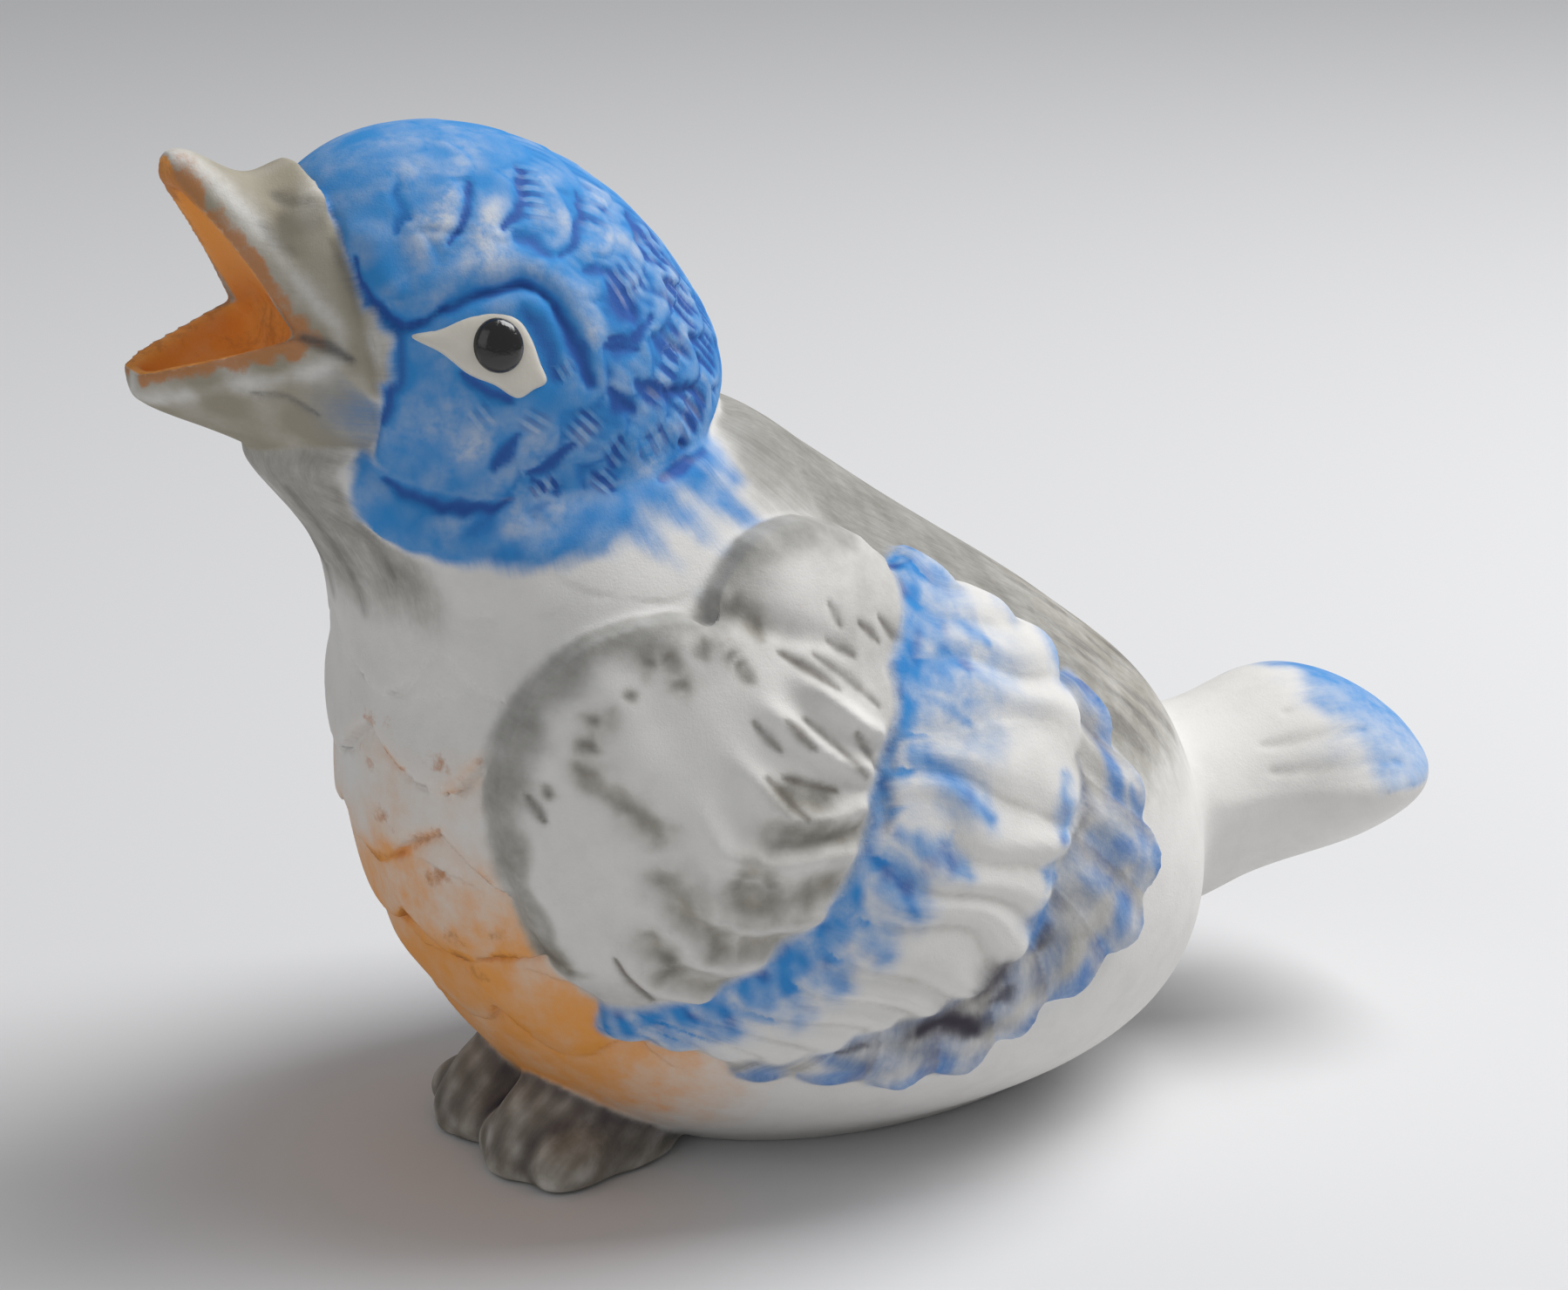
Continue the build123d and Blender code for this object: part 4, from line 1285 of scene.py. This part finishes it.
def brush_lines(relief):
    """For each point, how far it lies across and along the brush, in millimetres."""
    place = relief.place
    share = relief.share
    head_across = np.radians(place.head_turn) * TURN_RADIUS * np.sin(np.radians(place.head_back))
    head_along = np.radians(place.head_back) * ROW_RADIUS
    across = place.x
    along = place.y - place.z
    hood = relief.hood > -3
    across = np.where(hood, head_across, across)
    along = np.where(hood, head_along, along)
    for node, run in (("wing_coverts", relief.covert_run), ("wing_flights", relief.flight_run)):
        across = np.where(share[node] > 0.5, run * 2.4, across)
        along = np.where(share[node] > 0.5, place.fan_reach, along)
    panel = share["wing_shoulder"] > 0.5
    across = np.where(panel, 0.16 * place.z, across)
    along = np.where(panel, 0.8 * place.y, along)
    foot = share["foot"] > 0.5
    across = np.where(foot, 0.5 * place.x, across)
    along = np.where(foot, 2.0 * (place.y - place.z), along)
    return np.stack([across, along, np.sign(place.x) * 7.0], 1)


def by_kind(shares):
    """Shares of left and right pieces added up under one name."""
    total = {}
    for index, name in enumerate(SKIN_NODES):
        plain = name.removeprefix("left_").removeprefix("right_")
        total[plain] = total.get(plain, 0) + shares[:, index]
    return total


def raw_skin(grain):
    """The skin round all solids without its voxel steps, and the node that each point lies on."""
    points, tris, owners = joined_nodes()
    tree = BVHTree.FromPolygons(points.tolist(), tris.tolist())
    plug_points, plug_tris = vent_plug(len(points))
    ball_points, ball_tris = mouth_filling(len(points) + len(plug_points))
    all_points = np.concatenate([points, plug_points, ball_points])
    all_tris = np.concatenate([tris, plug_tris, ball_tris])
    skin = Skin(*outer_part(*remeshed(all_points, all_tris, grain)))
    skin.even(rounds=4)
    nearest = np.array([tree.find_nearest(p)[2] for p in skin.points.tolist()])
    return skin, owners[nearest]


def meeting(skin, shares, node, rounds, force):
    """A soft zone round the line where a piece meets the body."""
    both = shares[:, SKIN_NODES.index(node)] * shares[:, SKIN_NODES.index("body")]
    return np.clip(skin.spread((both > 0.02).astype(float), rounds) * force, 0, 1)


def soften(skin, shares, owner):
    """Creases between the pieces rounded off, most at the neck, the tail, the flights and the feet."""
    mixed = (owner[skin.quads] != owner[skin.quads[:, :1]]).any(1)
    crease = np.zeros(len(skin.points))
    crease[skin.quads[mixed].ravel()] = 1
    soft = np.clip(skin.spread(crease, rounds=12) * 2.2, 0, 1)
    neck = meeting(skin, shares, "head", rounds=60, force=2.0) * ramp(skin.points[:, 1], *NECK_FRONT)
    skin.relax_part(neck * 0.5, rounds=60)
    rump = meeting(skin, shares, "tail", rounds=90, force=2.4)
    skin.relax_part(rump * 0.5, rounds=160)
    skin.relax_part(soft * 0.5, rounds=14)
    kinds = by_kind(shares)
    skin.relax_part(soft * ramp(kinds["wing_flights"], 0.05, 0.3) * 0.5, rounds=30)
    skin.relax_part(ramp(kinds["foot"], 0.2, 0.8) * 0.5, rounds=40)


def carve(skin, relief, sizes):
    """All the carving, laid on the skin and kept inside the part's own box."""
    rise = carve_wings(relief, sizes) + carve_head(relief, sizes) + carve_tail(relief)
    rise = skin.spread(rise, rounds=1) + carve_body(relief)
    skin.points = skin.points + relief.place.normals * rise[:, None]
    skin.relax(0.3, rounds=1)
    low, high = (np.array(corner) / MM for corner in CAD_BOX)
    skin.points = np.clip(skin.points, low, high)


class Cast:
    """The finished skin with its paint, cut up node by node on request."""

    def __init__(self, sizes):
        skin, owner = raw_skin(sizes.grain)
        owned = [(owner == k).astype(float) for k in range(len(SKIN_NODES))]
        shares = np.stack([skin.spread(own, rounds=5) for own in owned], 1)
        self.face_owner = shares[skin.quads].sum(1).argmax(1)
        soften(skin, shares, owner)
        marks = PhotoMarks(skin.points)
        first = Relief(Places(skin.points, skin.normals()), by_kind(shares), sizes, marks)
        throat = ramp(skin.spread(first.inside, rounds=3), 0.4, 0.9)
        skin.relax_part(throat * 0.5, rounds=40)
        relief = Relief(Places(skin.points, skin.normals()), by_kind(shares), sizes, marks)
        carve(skin, relief, sizes)
        self.points = skin.points
        self.quads = skin.quads
        self.normals = skin.normals()
        relief.place.normals = self.normals
        for kind in ("head", "upper_beak", "lower_beak"):
            relief.share[kind] = ramp(skin.spread(relief.share[kind], rounds=24), 0.25, 0.75)
        # How far each point lies in a hollow or stands out, which sets the feet's painted shade and painted
        # highlight.
        hollow = ((skin.neighbours(skin.points) - skin.points) * self.normals).sum(1)
        relief.cavity = np.clip(skin.spread(hollow, rounds=4) * 40, -1, 1)
        self.layers = paint(relief)
        self.brush = brush_lines(relief)
        self.comb = np.stack([relief.comb_run, relief.comb_mask, 0 * relief.comb_run], 1)

    def piece(self, node):
        """One node's part of the skin as a closed mesh object."""
        quads = self.quads[self.face_owner == SKIN_NODES.index(node)]
        used = np.unique(quads)
        renumber = np.zeros(len(self.points), np.int64)
        renumber[used] = np.arange(len(used))
        quads = renumber[quads]
        points = self.points[used]
        normals = self.normals[used]
        values = [np.stack([self.layers[k][used] for k in names], 1) for names in PAINT_CHANNELS]
        places = {"brush": self.brush[used], "comb": self.comb[used]}
        caps, sources, extra = edge_caps(points, normals, quads)
        if caps:
            points = np.concatenate([points, extra])
            normals = np.concatenate([normals, normals[sources]])
            values = [np.concatenate([v, v[sources]]) for v in values]
            places = {name: np.concatenate([v, v[sources]]) for name, v in places.items()}
        mesh = bpy.data.meshes.new(node + "_cast")
        mesh.from_pydata((points * MM).tolist(), [], quads.tolist() + caps)
        mesh.shade_smooth()
        for name, value in zip(("paint_a", "paint_b"), values):
            layer = mesh.attributes.new(name, "FLOAT_COLOR", "POINT")
            layer.data.foreach_set("color", value.astype(np.float32).ravel())
        for name, value in places.items():
            layer = mesh.attributes.new(name, "FLOAT_VECTOR", "POINT")
            layer.data.foreach_set("vector", value.astype(np.float32).ravel())
        mesh.normals_split_custom_set_from_vertices(normals.tolist())
        obj = bpy.data.objects.new(node + "_cast", mesh)
        bpy.context.scene.collection.objects.link(obj)
        return obj


def edge_loops(quads, size):
    """The closed loops of open edges of a patch, each against the patch's own direction."""
    starts = np.concatenate([quads[:, k] for k in range(4)])
    stops = np.concatenate([quads[:, (k + 1) % 4] for k in range(4)])
    open_edges = ~np.isin(starts * size + stops, stops * size + starts)
    follow = {}
    for start, stop in zip(starts[open_edges].tolist(), stops[open_edges].tolist()):
        follow.setdefault(start, []).append(stop)
    loops = []
    while follow:
        loop = [next(iter(follow))]
        while True:
            stops_here = follow[loop[-1]]
            after = stops_here.pop()
            if not stops_here:
                del follow[loop[-1]]
            if after == loop[0]:
                break
            loop.append(after)
        loops.append(loop)
    return loops


def edge_caps(points, normals, quads):
    """Faces that close a patch underneath: a rim down from each open edge, and a floor across it."""
    caps, sources, extra = [], [], []
    size = len(points)
    for loop in edge_loops(quads, size):
        first = size + len(extra)
        sunk = points[loop] - normals[loop] * CAP_RIM
        extra += list(sunk)
        extra.append(sunk.mean(0) - CAP_FLOOR * normals[loop].mean(0))
        sources += loop + [loop[0]]
        middle = first + len(loop)
        for step in range(len(loop)):
            after = (step + 1) % len(loop)
            caps.append((loop[after], loop[step], first + step, first + after))
            caps.append((first + after, first + step, middle))
    return caps, sources, extra


class Nodes:
    """A short way to write a material's nodes."""

    def __init__(self, name):
        self.material = bpy.data.materials.new(name)
        self.material.use_nodes = True
        self.tree = self.material.node_tree
        self.tree.nodes.clear()

    def feed(self, socket, value):
        """A link or a fixed value into a socket."""
        if isinstance(value, bpy.types.NodeSocket):
            self.tree.links.new(value, socket)
        else:
            socket.default_value = value

    def math(self, operation, first, second=0.0, clamp=False):
        """Two values worked together."""
        node = self.tree.nodes.new("ShaderNodeMath")
        node.operation = operation
        node.use_clamp = clamp
        self.feed(node.inputs[0], first)
        self.feed(node.inputs[1], second)
        return node.outputs[0]

    def plus(self, first, second, clamp=False):
        """The sum of two values."""
        return self.math("ADD", first, second, clamp)

    def minus(self, first, second):
        """The difference of two values."""
        return self.math("SUBTRACT", first, second)

    def times(self, first, second, clamp=False):
        """The product of two values."""
        return self.math("MULTIPLY", first, second, clamp)

    def mix(self, share, under, over):
        """One colour laid over another."""
        node = self.tree.nodes.new("ShaderNodeMix")
        node.data_type = "RGBA"
        self.feed(node.inputs[0], share)
        self.feed(node.inputs[6], under)
        self.feed(node.inputs[7], over)
        return node.outputs[2]

    def noise(self, place, scale, detail=3.0, rough=0.55):
        """Cloud noise between 0 and 1."""
        node = self.tree.nodes.new("ShaderNodeTexNoise")
        self.feed(node.inputs["Vector"], place)
        node.inputs["Scale"].default_value = scale
        node.inputs["Detail"].default_value = detail
        node.inputs["Roughness"].default_value = rough
        return node.outputs["Fac"]

    def stretch(self, place, scale):
        """A place stretched unevenly."""
        node = self.tree.nodes.new("ShaderNodeVectorMath")
        node.operation = "MULTIPLY"
        self.feed(node.inputs[0], place)
        node.inputs[1].default_value = scale
        return node.outputs[0]

    def step(self, value, low, high):
        """A soft step from low to high."""
        node = self.tree.nodes.new("ShaderNodeMapRange")
        node.interpolation_type = "SMOOTHSTEP"
        self.feed(node.inputs["Value"], value)
        node.inputs["From Min"].default_value = low
        node.inputs["From Max"].default_value = high
        return node.outputs["Result"]

    def loosely(self, share, noise, force):
        """A layer's share, broken up by noise where it is neither bare nor full."""
        middle = self.times(share, self.minus(1.0, share))
        stir = self.times(self.times(middle, noise), 4 * force)
        return self.plus(share, stir, True)

    def channels(self, name):
        """The four values of a painted layer."""
        node = self.tree.nodes.new("ShaderNodeAttribute")
        node.attribute_name = name
        parts = self.tree.nodes.new("ShaderNodeSeparateColor")
        self.tree.links.new(node.outputs["Color"], parts.inputs["Color"])
        return (*parts.outputs, node.outputs["Alpha"])

    def vector(self, name):
        """A stored place."""
        node = self.tree.nodes.new("ShaderNodeAttribute")
        node.attribute_name = name
        return node.outputs["Vector"]

    def close(self, colour, roughness, bump, depth, coat=0.0, shine=0.5):
        """The surface itself, with a fine bump."""
        surface = self.tree.nodes.new("ShaderNodeBsdfPrincipled")
        self.feed(surface.inputs["Base Color"], colour)
        self.feed(surface.inputs["Roughness"], roughness)
        surface.inputs["Coat Weight"].default_value = coat
        surface.inputs["Specular IOR Level"].default_value = shine
        if bump is not None:
            lift = self.tree.nodes.new("ShaderNodeBump")
            lift.inputs["Strength"].default_value = 1.0
            lift.inputs["Distance"].default_value = depth
            self.feed(lift.inputs["Height"], bump)
            self.tree.links.new(lift.outputs["Normal"], surface.inputs["Normal"])
        out = self.tree.nodes.new("ShaderNodeOutputMaterial")
        self.tree.links.new(surface.outputs[0], out.inputs["Surface"])
        return self.material


def opaque(colour):
    """A colour with full cover."""
    return (*colour, 1.0)


def painted_clay(name, paints):
    """Matte clay with brushed layers of paint."""
    n = Nodes(name)
    where = n.tree.nodes.new("ShaderNodeTexCoord").outputs["Object"]
    blue, deep, grey, orange = n.channels("paint_a")
    rust, taupe, dark, wipe = n.channels("paint_b")
    brush = n.vector("brush")
    streak = n.noise(n.stretch(brush, STREAK_STRETCH), 1.0, 4.0, 0.6)
    bristle = n.noise(n.stretch(brush, BRISTLE_STRETCH), 1.0, 3.0, 0.6)
    cloud = n.noise(where, CLOUD_SCALE, 4.0, 0.6)
    blotch = n.noise(where, BLOTCH_SCALE, 3.0, 0.55)
    speck = n.noise(where, SPECK_SCALE, 3.0, 0.7)
    grain = n.noise(where, GRAIN_SCALE, 2.0, 0.6)
    ragged = n.plus(n.times(streak, 0.6), n.times(bristle, 0.4))
    loose = n.minus(ragged, 0.5)

    parts = n.tree.nodes.new("ShaderNodeSeparateXYZ")
    n.feed(parts.inputs[0], n.vector("comb"))
    swing = n.plus(parts.outputs[0], n.times(cloud, 0.5))
    wave = n.math("SINE", n.times(swing, 2 * math.pi))
    comb = n.times(n.step(wave, -0.2, 0.7), parts.outputs[1])
    gaps = n.times(n.step(wave, 0.2, -0.7), parts.outputs[1])

    patch = n.minus(cloud, 0.5)
    base = n.mix(n.step(cloud, 0.35, 0.75), opaque(paints.bare), opaque([c * 0.94 for c in paints.bare]))
    strong = n.step(n.plus(cloud, n.times(orange, 0.5)), 0.55, 1.05)
    wash = n.mix(strong, opaque(paints.orange_wash), opaque(paints.orange))
    base = n.mix(n.loosely(orange, patch, 1.2), base, wash)
    cover = n.loosely(taupe, n.plus(n.times(loose, 0.3), patch), 1.1)
    base = n.mix(n.times(cover, 0.95), base, opaque(paints.taupe))
    stir = n.times(n.minus(n.plus(speck, blotch), 1.0), 0.9)
    cover = n.step(n.plus(rust, stir), 0.2, 0.9)
    base = n.mix(n.times(cover, 0.8), base, opaque(paints.rust))
    cover = n.loosely(grey, n.plus(n.times(patch, 0.6), loose), 0.7)
    base = n.mix(cover, base, opaque(paints.grey))
    tone = n.plus(deep, n.plus(n.times(patch, 0.5), n.times(loose, 0.4)))
    tone = n.plus(tone, n.times(comb, 0.5))
    wipe = n.plus(wipe, n.times(gaps, 0.25), True)
    tone = n.minus(tone, n.times(wipe, 0.8))
    inks = n.mix(n.step(tone, -0.05, 0.95), opaque(paints.blue), opaque(paints.deep))
    smear = n.plus(n.times(blotch, 0.8), n.times(speck, 0.2))
    thin = n.times(wipe, n.step(n.plus(smear, n.times(cloud, 0.5)), 0.4, 1.0))
    laid = n.loosely(blue, n.plus(patch, loose), 0.8)
    cover = n.times(laid, n.minus(0.97, n.times(thin, 0.85)), True)
    base = n.mix(cover, base, inks)
    cover = n.loosely(dark, n.plus(patch, loose), 0.6)
    base = n.mix(cover, base, opaque(paints.dark))
    bump = n.plus(n.times(grain, 0.5), n.times(speck, 0.5))
    bump = n.minus(bump, n.times(comb, 0.4))
    return n.close(base, CLAY_ROUGHNESS, bump, CLAY_BUMP, 0.0, CLAY_SHINE)


_MADE = {}


def cast():
    """The skin, made once for all pieces."""
    if "cast" not in _MADE:
        _MADE["cast"] = Cast(bpy.context.scene.songbird_sizes)
    return _MADE["cast"]


def slot_material(slot):
    """The painted clay of a slot, made once."""
    if slot not in _MADE:
        _MADE[slot] = painted_clay(slot, bpy.context.scene.songbird_paints)
    return _MADE[slot]


def dress(node, slot):
    """One node's cast piece, painted, riding and standing for its node."""
    obj = cast().piece(node)
    obj.data.materials.append(slot_material(slot))
    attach(obj, "root")
    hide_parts(node)


def head_side(y, z, grow):
    """How far out the head's side lies at a height and depth, grown outwards."""
    lean = math.radians(HEAD_LEAN)
    dy = y - HEAD_MIDDLE[1]
    dz = z - HEAD_MIDDLE[2]
    long = -dy * math.sin(lean) + dz * math.cos(lean)
    short = dy * math.cos(lean) + dz * math.sin(lean)
    half = HEAD_HALF_WIDTH + grow
    inside = 1 - (long / (HEAD_HALF_LENGTH + grow)) ** 2 - (short / half) ** 2
    return half * np.sqrt(np.maximum(inside, 0.01))


def smooth_loop(places, count):
    """A closed, rounded line through places, as even steps."""
    places = np.asarray(places, float)
    size = len(places)
    found = []
    for step in np.arange(count) * size / count:
        index = int(step)
        share = step - index
        a, b, c, d = (places[(index + k - 1) % size] for k in range(4))
        found.append(0.5 * (2 * b + (c - a) * share + (2 * a - 5 * b + 4 * c - d) * share ** 2
                            + (3 * b - a - 3 * c + d) * share ** 3))
    return np.array(found)


def dome(height, power, rings=24):
    """Heights of a dome from its middle to its rim, flatter with a higher power."""
    return height * np.sqrt(np.clip(1 - np.linspace(0, 1, rings) ** power, 0, 1))


def domed_patch(name, outline, middle, base, profile, side):
    """A closed, domed patch on the side of the head inside an outline in Y and Z."""
    rings = len(profile)
    count = len(outline)
    points = [(head_side(*middle, base + profile[0]), *middle)]
    for ring in range(1, rings):
        flat = middle + (outline - middle) * (ring / (rings - 1))
        out = head_side(flat[:, 0], flat[:, 1], base + profile[ring])
        points += [(x, y, z) for x, (y, z) in zip(out, flat)]
    under = head_side(outline[:, 0], outline[:, 1], -EYE_ROOT)
    points += [(x, y, z) for x, (y, z) in zip(under, outline)]
    points.append((head_side(*middle, -EYE_ROOT), *middle))
    faces = [(0, 1 + k, 1 + (k + 1) % count) for k in range(count)]
    for ring in range(rings - 1):
        first = 1 + ring * count
        for k in range(count):
            after = (k + 1) % count
            faces.append((first + k, first + count + k, first + count + after, first + after))
    last = 1 + (rings - 1) * count
    faces += [(last + (k + 1) % count, last + k, last + count) for k in range(count)]
    points = np.array(points, float)
    points[:, 0] *= side
    mesh = bpy.data.meshes.new(name)
    mesh.from_pydata((points * MM).tolist(), [], faces)
    mesh.validate()
    fix_facing(mesh)
    mesh.shade_smooth()
    obj = bpy.data.objects.new(name, mesh)
    bpy.context.scene.collection.objects.link(obj)
    return obj


def fix_facing(mesh):
    """Faces turned outwards."""
    volume = 0.0
    mesh.calc_loop_triangles()
    for tri in mesh.loop_triangles:
        a, b, c = (mesh.vertices[k].co for k in tri.vertices)
        volume += a.dot(b.cross(c))
    if volume < 0:
        mesh.flip_normals()


class SONGBIRD_OT_body(bpy.types.Operator):
    """Make the cast body with its breast, back and base"""
    bl_idname = "songbird.body"
    bl_label = "Body"

    def execute(self, context):
        dress("body", "body_paint")
        return {"FINISHED"}


class SONGBIRD_OT_head(bpy.types.Operator):
    """Make the head with its rows of carved feathers"""
    bl_idname = "songbird.head"
    bl_label = "Head"

    def execute(self, context):
        dress("head", "head_paint")
        return {"FINISHED"}


class SONGBIRD_OT_beak(bpy.types.Operator):
    """Make both halves of the open beak"""
    bl_idname = "songbird.beak"
    bl_label = "Beak"

    def execute(self, context):
        dress("upper_beak", "beak_paint")
        dress("lower_beak", "beak_paint")
        return {"FINISHED"}


class SONGBIRD_OT_eyes(bpy.types.Operator):
    """Make the eye whites and the glossy pupils"""
    bl_idname = "songbird.eyes"
    bl_label = "Eyes"

    def execute(self, context):
        sizes = context.scene.songbird_sizes
        paints = context.scene.songbird_paints
        white = Nodes("eye_white")
        where = white.tree.nodes.new("ShaderNodeTexCoord").outputs["Object"]
        cloud = white.noise(where, EYE_CLOUD_SCALE)
        tint = white.mix(cloud, opaque(paints.eye_white), opaque([c * 0.9 for c in paints.eye_white]))
        white.close(tint, EYE_ROUGHNESS, cloud, EYE_BUMP)
        black = Nodes("pupil_gloss")
        where = black.tree.nodes.new("ShaderNodeTexCoord").outputs["Object"]
        cloud = black.noise(where, PUPIL_CLOUD_SCALE)
        black.close(opaque(paints.pupil), PUPIL_ROUGHNESS, cloud, PUPIL_BUMP, PUPIL_COAT)
        outline = smooth_loop(EYE_OUTLINE, count=120)
        turns = np.linspace(0, 2 * math.pi, 72, endpoint=False)
        radius = sizes.pupil_radius / MM
        disc = np.stack([PUPIL_PLACE[0] + radius * np.cos(turns),
                         PUPIL_PLACE[1] + PUPIL_STRETCH * radius * np.sin(turns)], 1)
        rise = sizes.eye_rise / MM
        plate = dome(rise, power=8)
        bead = dome(sizes.pupil_height / MM, power=2.6)
        for word, side in (("left", 1), ("right", -1)):
            eye = domed_patch(word + "_eye_white", outline, np.array(EYE_MIDDLE), 0.0, plate, side)
            eye.data.materials.append(white.material)
            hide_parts(word + "_eye")
            pupil = domed_patch(word + "_pupil_bead", disc, np.array(PUPIL_PLACE), rise, bead, side)
            pupil.data.materials.append(black.material)
            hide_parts(word + "_pupil")
            for obj in (eye, pupil):
                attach(obj, "root")
        return {"FINISHED"}


class SONGBIRD_OT_wings(bpy.types.Operator):
    """Make the three tiers of feathers of both wings"""
    bl_idname = "songbird.wings"
    bl_label = "Wings"

    def execute(self, context):
        for word in ("left", "right"):
            dress(word + "_wing_shoulder", "shoulder_paint")
            dress(word + "_wing_coverts", "covert_paint")
            dress(word + "_wing_flights", "flight_paint")
        return {"FINISHED"}


class SONGBIRD_OT_tail(bpy.types.Operator):
    """Make the tail with its blue tip"""
    bl_idname = "songbird.tail"
    bl_label = "Tail"

    def execute(self, context):
        dress("tail", "tail_paint")
        return {"FINISHED"}


class SONGBIRD_OT_feet(bpy.types.Operator):
    """Make both feet"""
    bl_idname = "songbird.feet"
    bl_label = "Feet"

    def execute(self, context):
        dress("left_foot", "foot_paint")
        dress("right_foot", "foot_paint")
        return {"FINISHED"}


class SONGBIRD_OT_stage(bpy.types.Operator):
    """Set the floor, the lamps and the camera"""
    bl_idname = "songbird.stage"
    bl_label = "Stage"

    def execute(self, context):
        scene = context.scene
        look = scene.songbird_stage
        turn = look.azimuth
        tilt = look.elevation
        back = Vector((math.sin(turn) * math.cos(tilt), -math.cos(turn) * math.cos(tilt), math.sin(tilt)))
        right = Vector((math.cos(turn), math.sin(turn), 0))
        aim = Vector((0, 0, look.aim))
        bpy.ops.mesh.primitive_plane_add(size=FLOOR_WIDTH, location=(0, 0, 0))
        floor = context.object
        floor.name = "floor"
        plain = Nodes("floor_plain")
        plain.close(opaque(scene.songbird_paints.floor), FLOOR_ROUGHNESS, None, 0)
        floor.data.materials.append(plain.material)
        camera = bpy.data.cameras.new("camera")
        camera.sensor_width = SENSOR_WIDTH
        camera.sensor_fit = "HORIZONTAL"
        camera.lens = look.lens
        camera.clip_start = 0.01
        holder = bpy.data.objects.new("camera", camera)
        scene.collection.objects.link(holder)
        holder.location = aim + back * look.distance
        holder.rotation_euler = back.to_track_quat("Z", "Y").to_euler()
        scene.camera = holder
        flat = Vector((back.x, back.y, 0)).normalized()
        for name, (sideways, ahead, up), width, power in (
            ("key", KEY_PLACE, KEY_WIDTH, look.key),
            ("fill", FILL_PLACE, FILL_WIDTH, look.fill),
        ):
            lamp(scene, name, aim + right * sideways + flat * ahead + Vector((0, 0, up)), aim, width, power)
        world = bpy.data.worlds.new("sky")
        world.use_nodes = True
        light = world.node_tree.nodes["Background"]
        light.inputs["Color"].default_value = SKY_COLOUR
        light.inputs["Strength"].default_value = look.sky
        scene.world = world
        scene.view_settings.view_transform = "Standard"
        return {"FINISHED"}


def lamp(scene, name, place, aim, size, power):
    """A square soft lamp that faces the figure."""
    data = bpy.data.lights.new(name, "AREA")
    data.size = size
    data.energy = power
    obj = bpy.data.objects.new(name, data)
    obj.location = place
    obj.rotation_euler = (place - aim).to_track_quat("Z", "Y").to_euler()
    scene.collection.objects.link(obj)


class SONGBIRD_PT_panel(bpy.types.Panel):
    """The figure's pieces in the sidebar"""
    bl_idname = "SONGBIRD_PT_panel"
    bl_label = "Songbird"
    bl_space_type = "VIEW_3D"
    bl_region_type = "UI"
    bl_category = "Songbird"

    def draw(self, context):
        for step in STEPS:
            self.layout.operator("songbird." + step)
        scene = context.scene
        for group in (scene.songbird_sizes, scene.songbird_paints, scene.songbird_stage):
            box = self.layout.box()
            for name in group.__annotations__:
                box.prop(group, name)


STEPS = ("body", "head", "beak", "eyes", "wings", "tail", "feet", "stage")
CLASSES = (FigureSizes, FigurePaints, StageLook, SONGBIRD_OT_body, SONGBIRD_OT_head, SONGBIRD_OT_beak,
           SONGBIRD_OT_eyes, SONGBIRD_OT_wings, SONGBIRD_OT_tail, SONGBIRD_OT_feet, SONGBIRD_OT_stage,
           SONGBIRD_PT_panel)


def register():
    """Add the classes and the scene's settings."""
    for cls in CLASSES:
        bpy.utils.register_class(cls)
    bpy.types.Scene.songbird_sizes = PointerProperty(type=FigureSizes)
    bpy.types.Scene.songbird_paints = PointerProperty(type=FigurePaints)
    bpy.types.Scene.songbird_stage = PointerProperty(type=StageLook)


def unregister():
    """Take the classes and settings away."""
    del bpy.types.Scene.songbird_stage
    del bpy.types.Scene.songbird_paints
    del bpy.types.Scene.songbird_sizes
    for cls in reversed(CLASSES):
        bpy.utils.unregister_class(cls)


def main():
    """Build the whole scene."""
    register()
    bpy.ops.songbird.body()
    bpy.ops.songbird.head()
    bpy.ops.songbird.beak()
    bpy.ops.songbird.eyes()
    bpy.ops.songbird.wings()
    bpy.ops.songbird.tail()
    bpy.ops.songbird.feet()
    bpy.ops.songbird.stage()


if __name__ == "__main__":
    main()
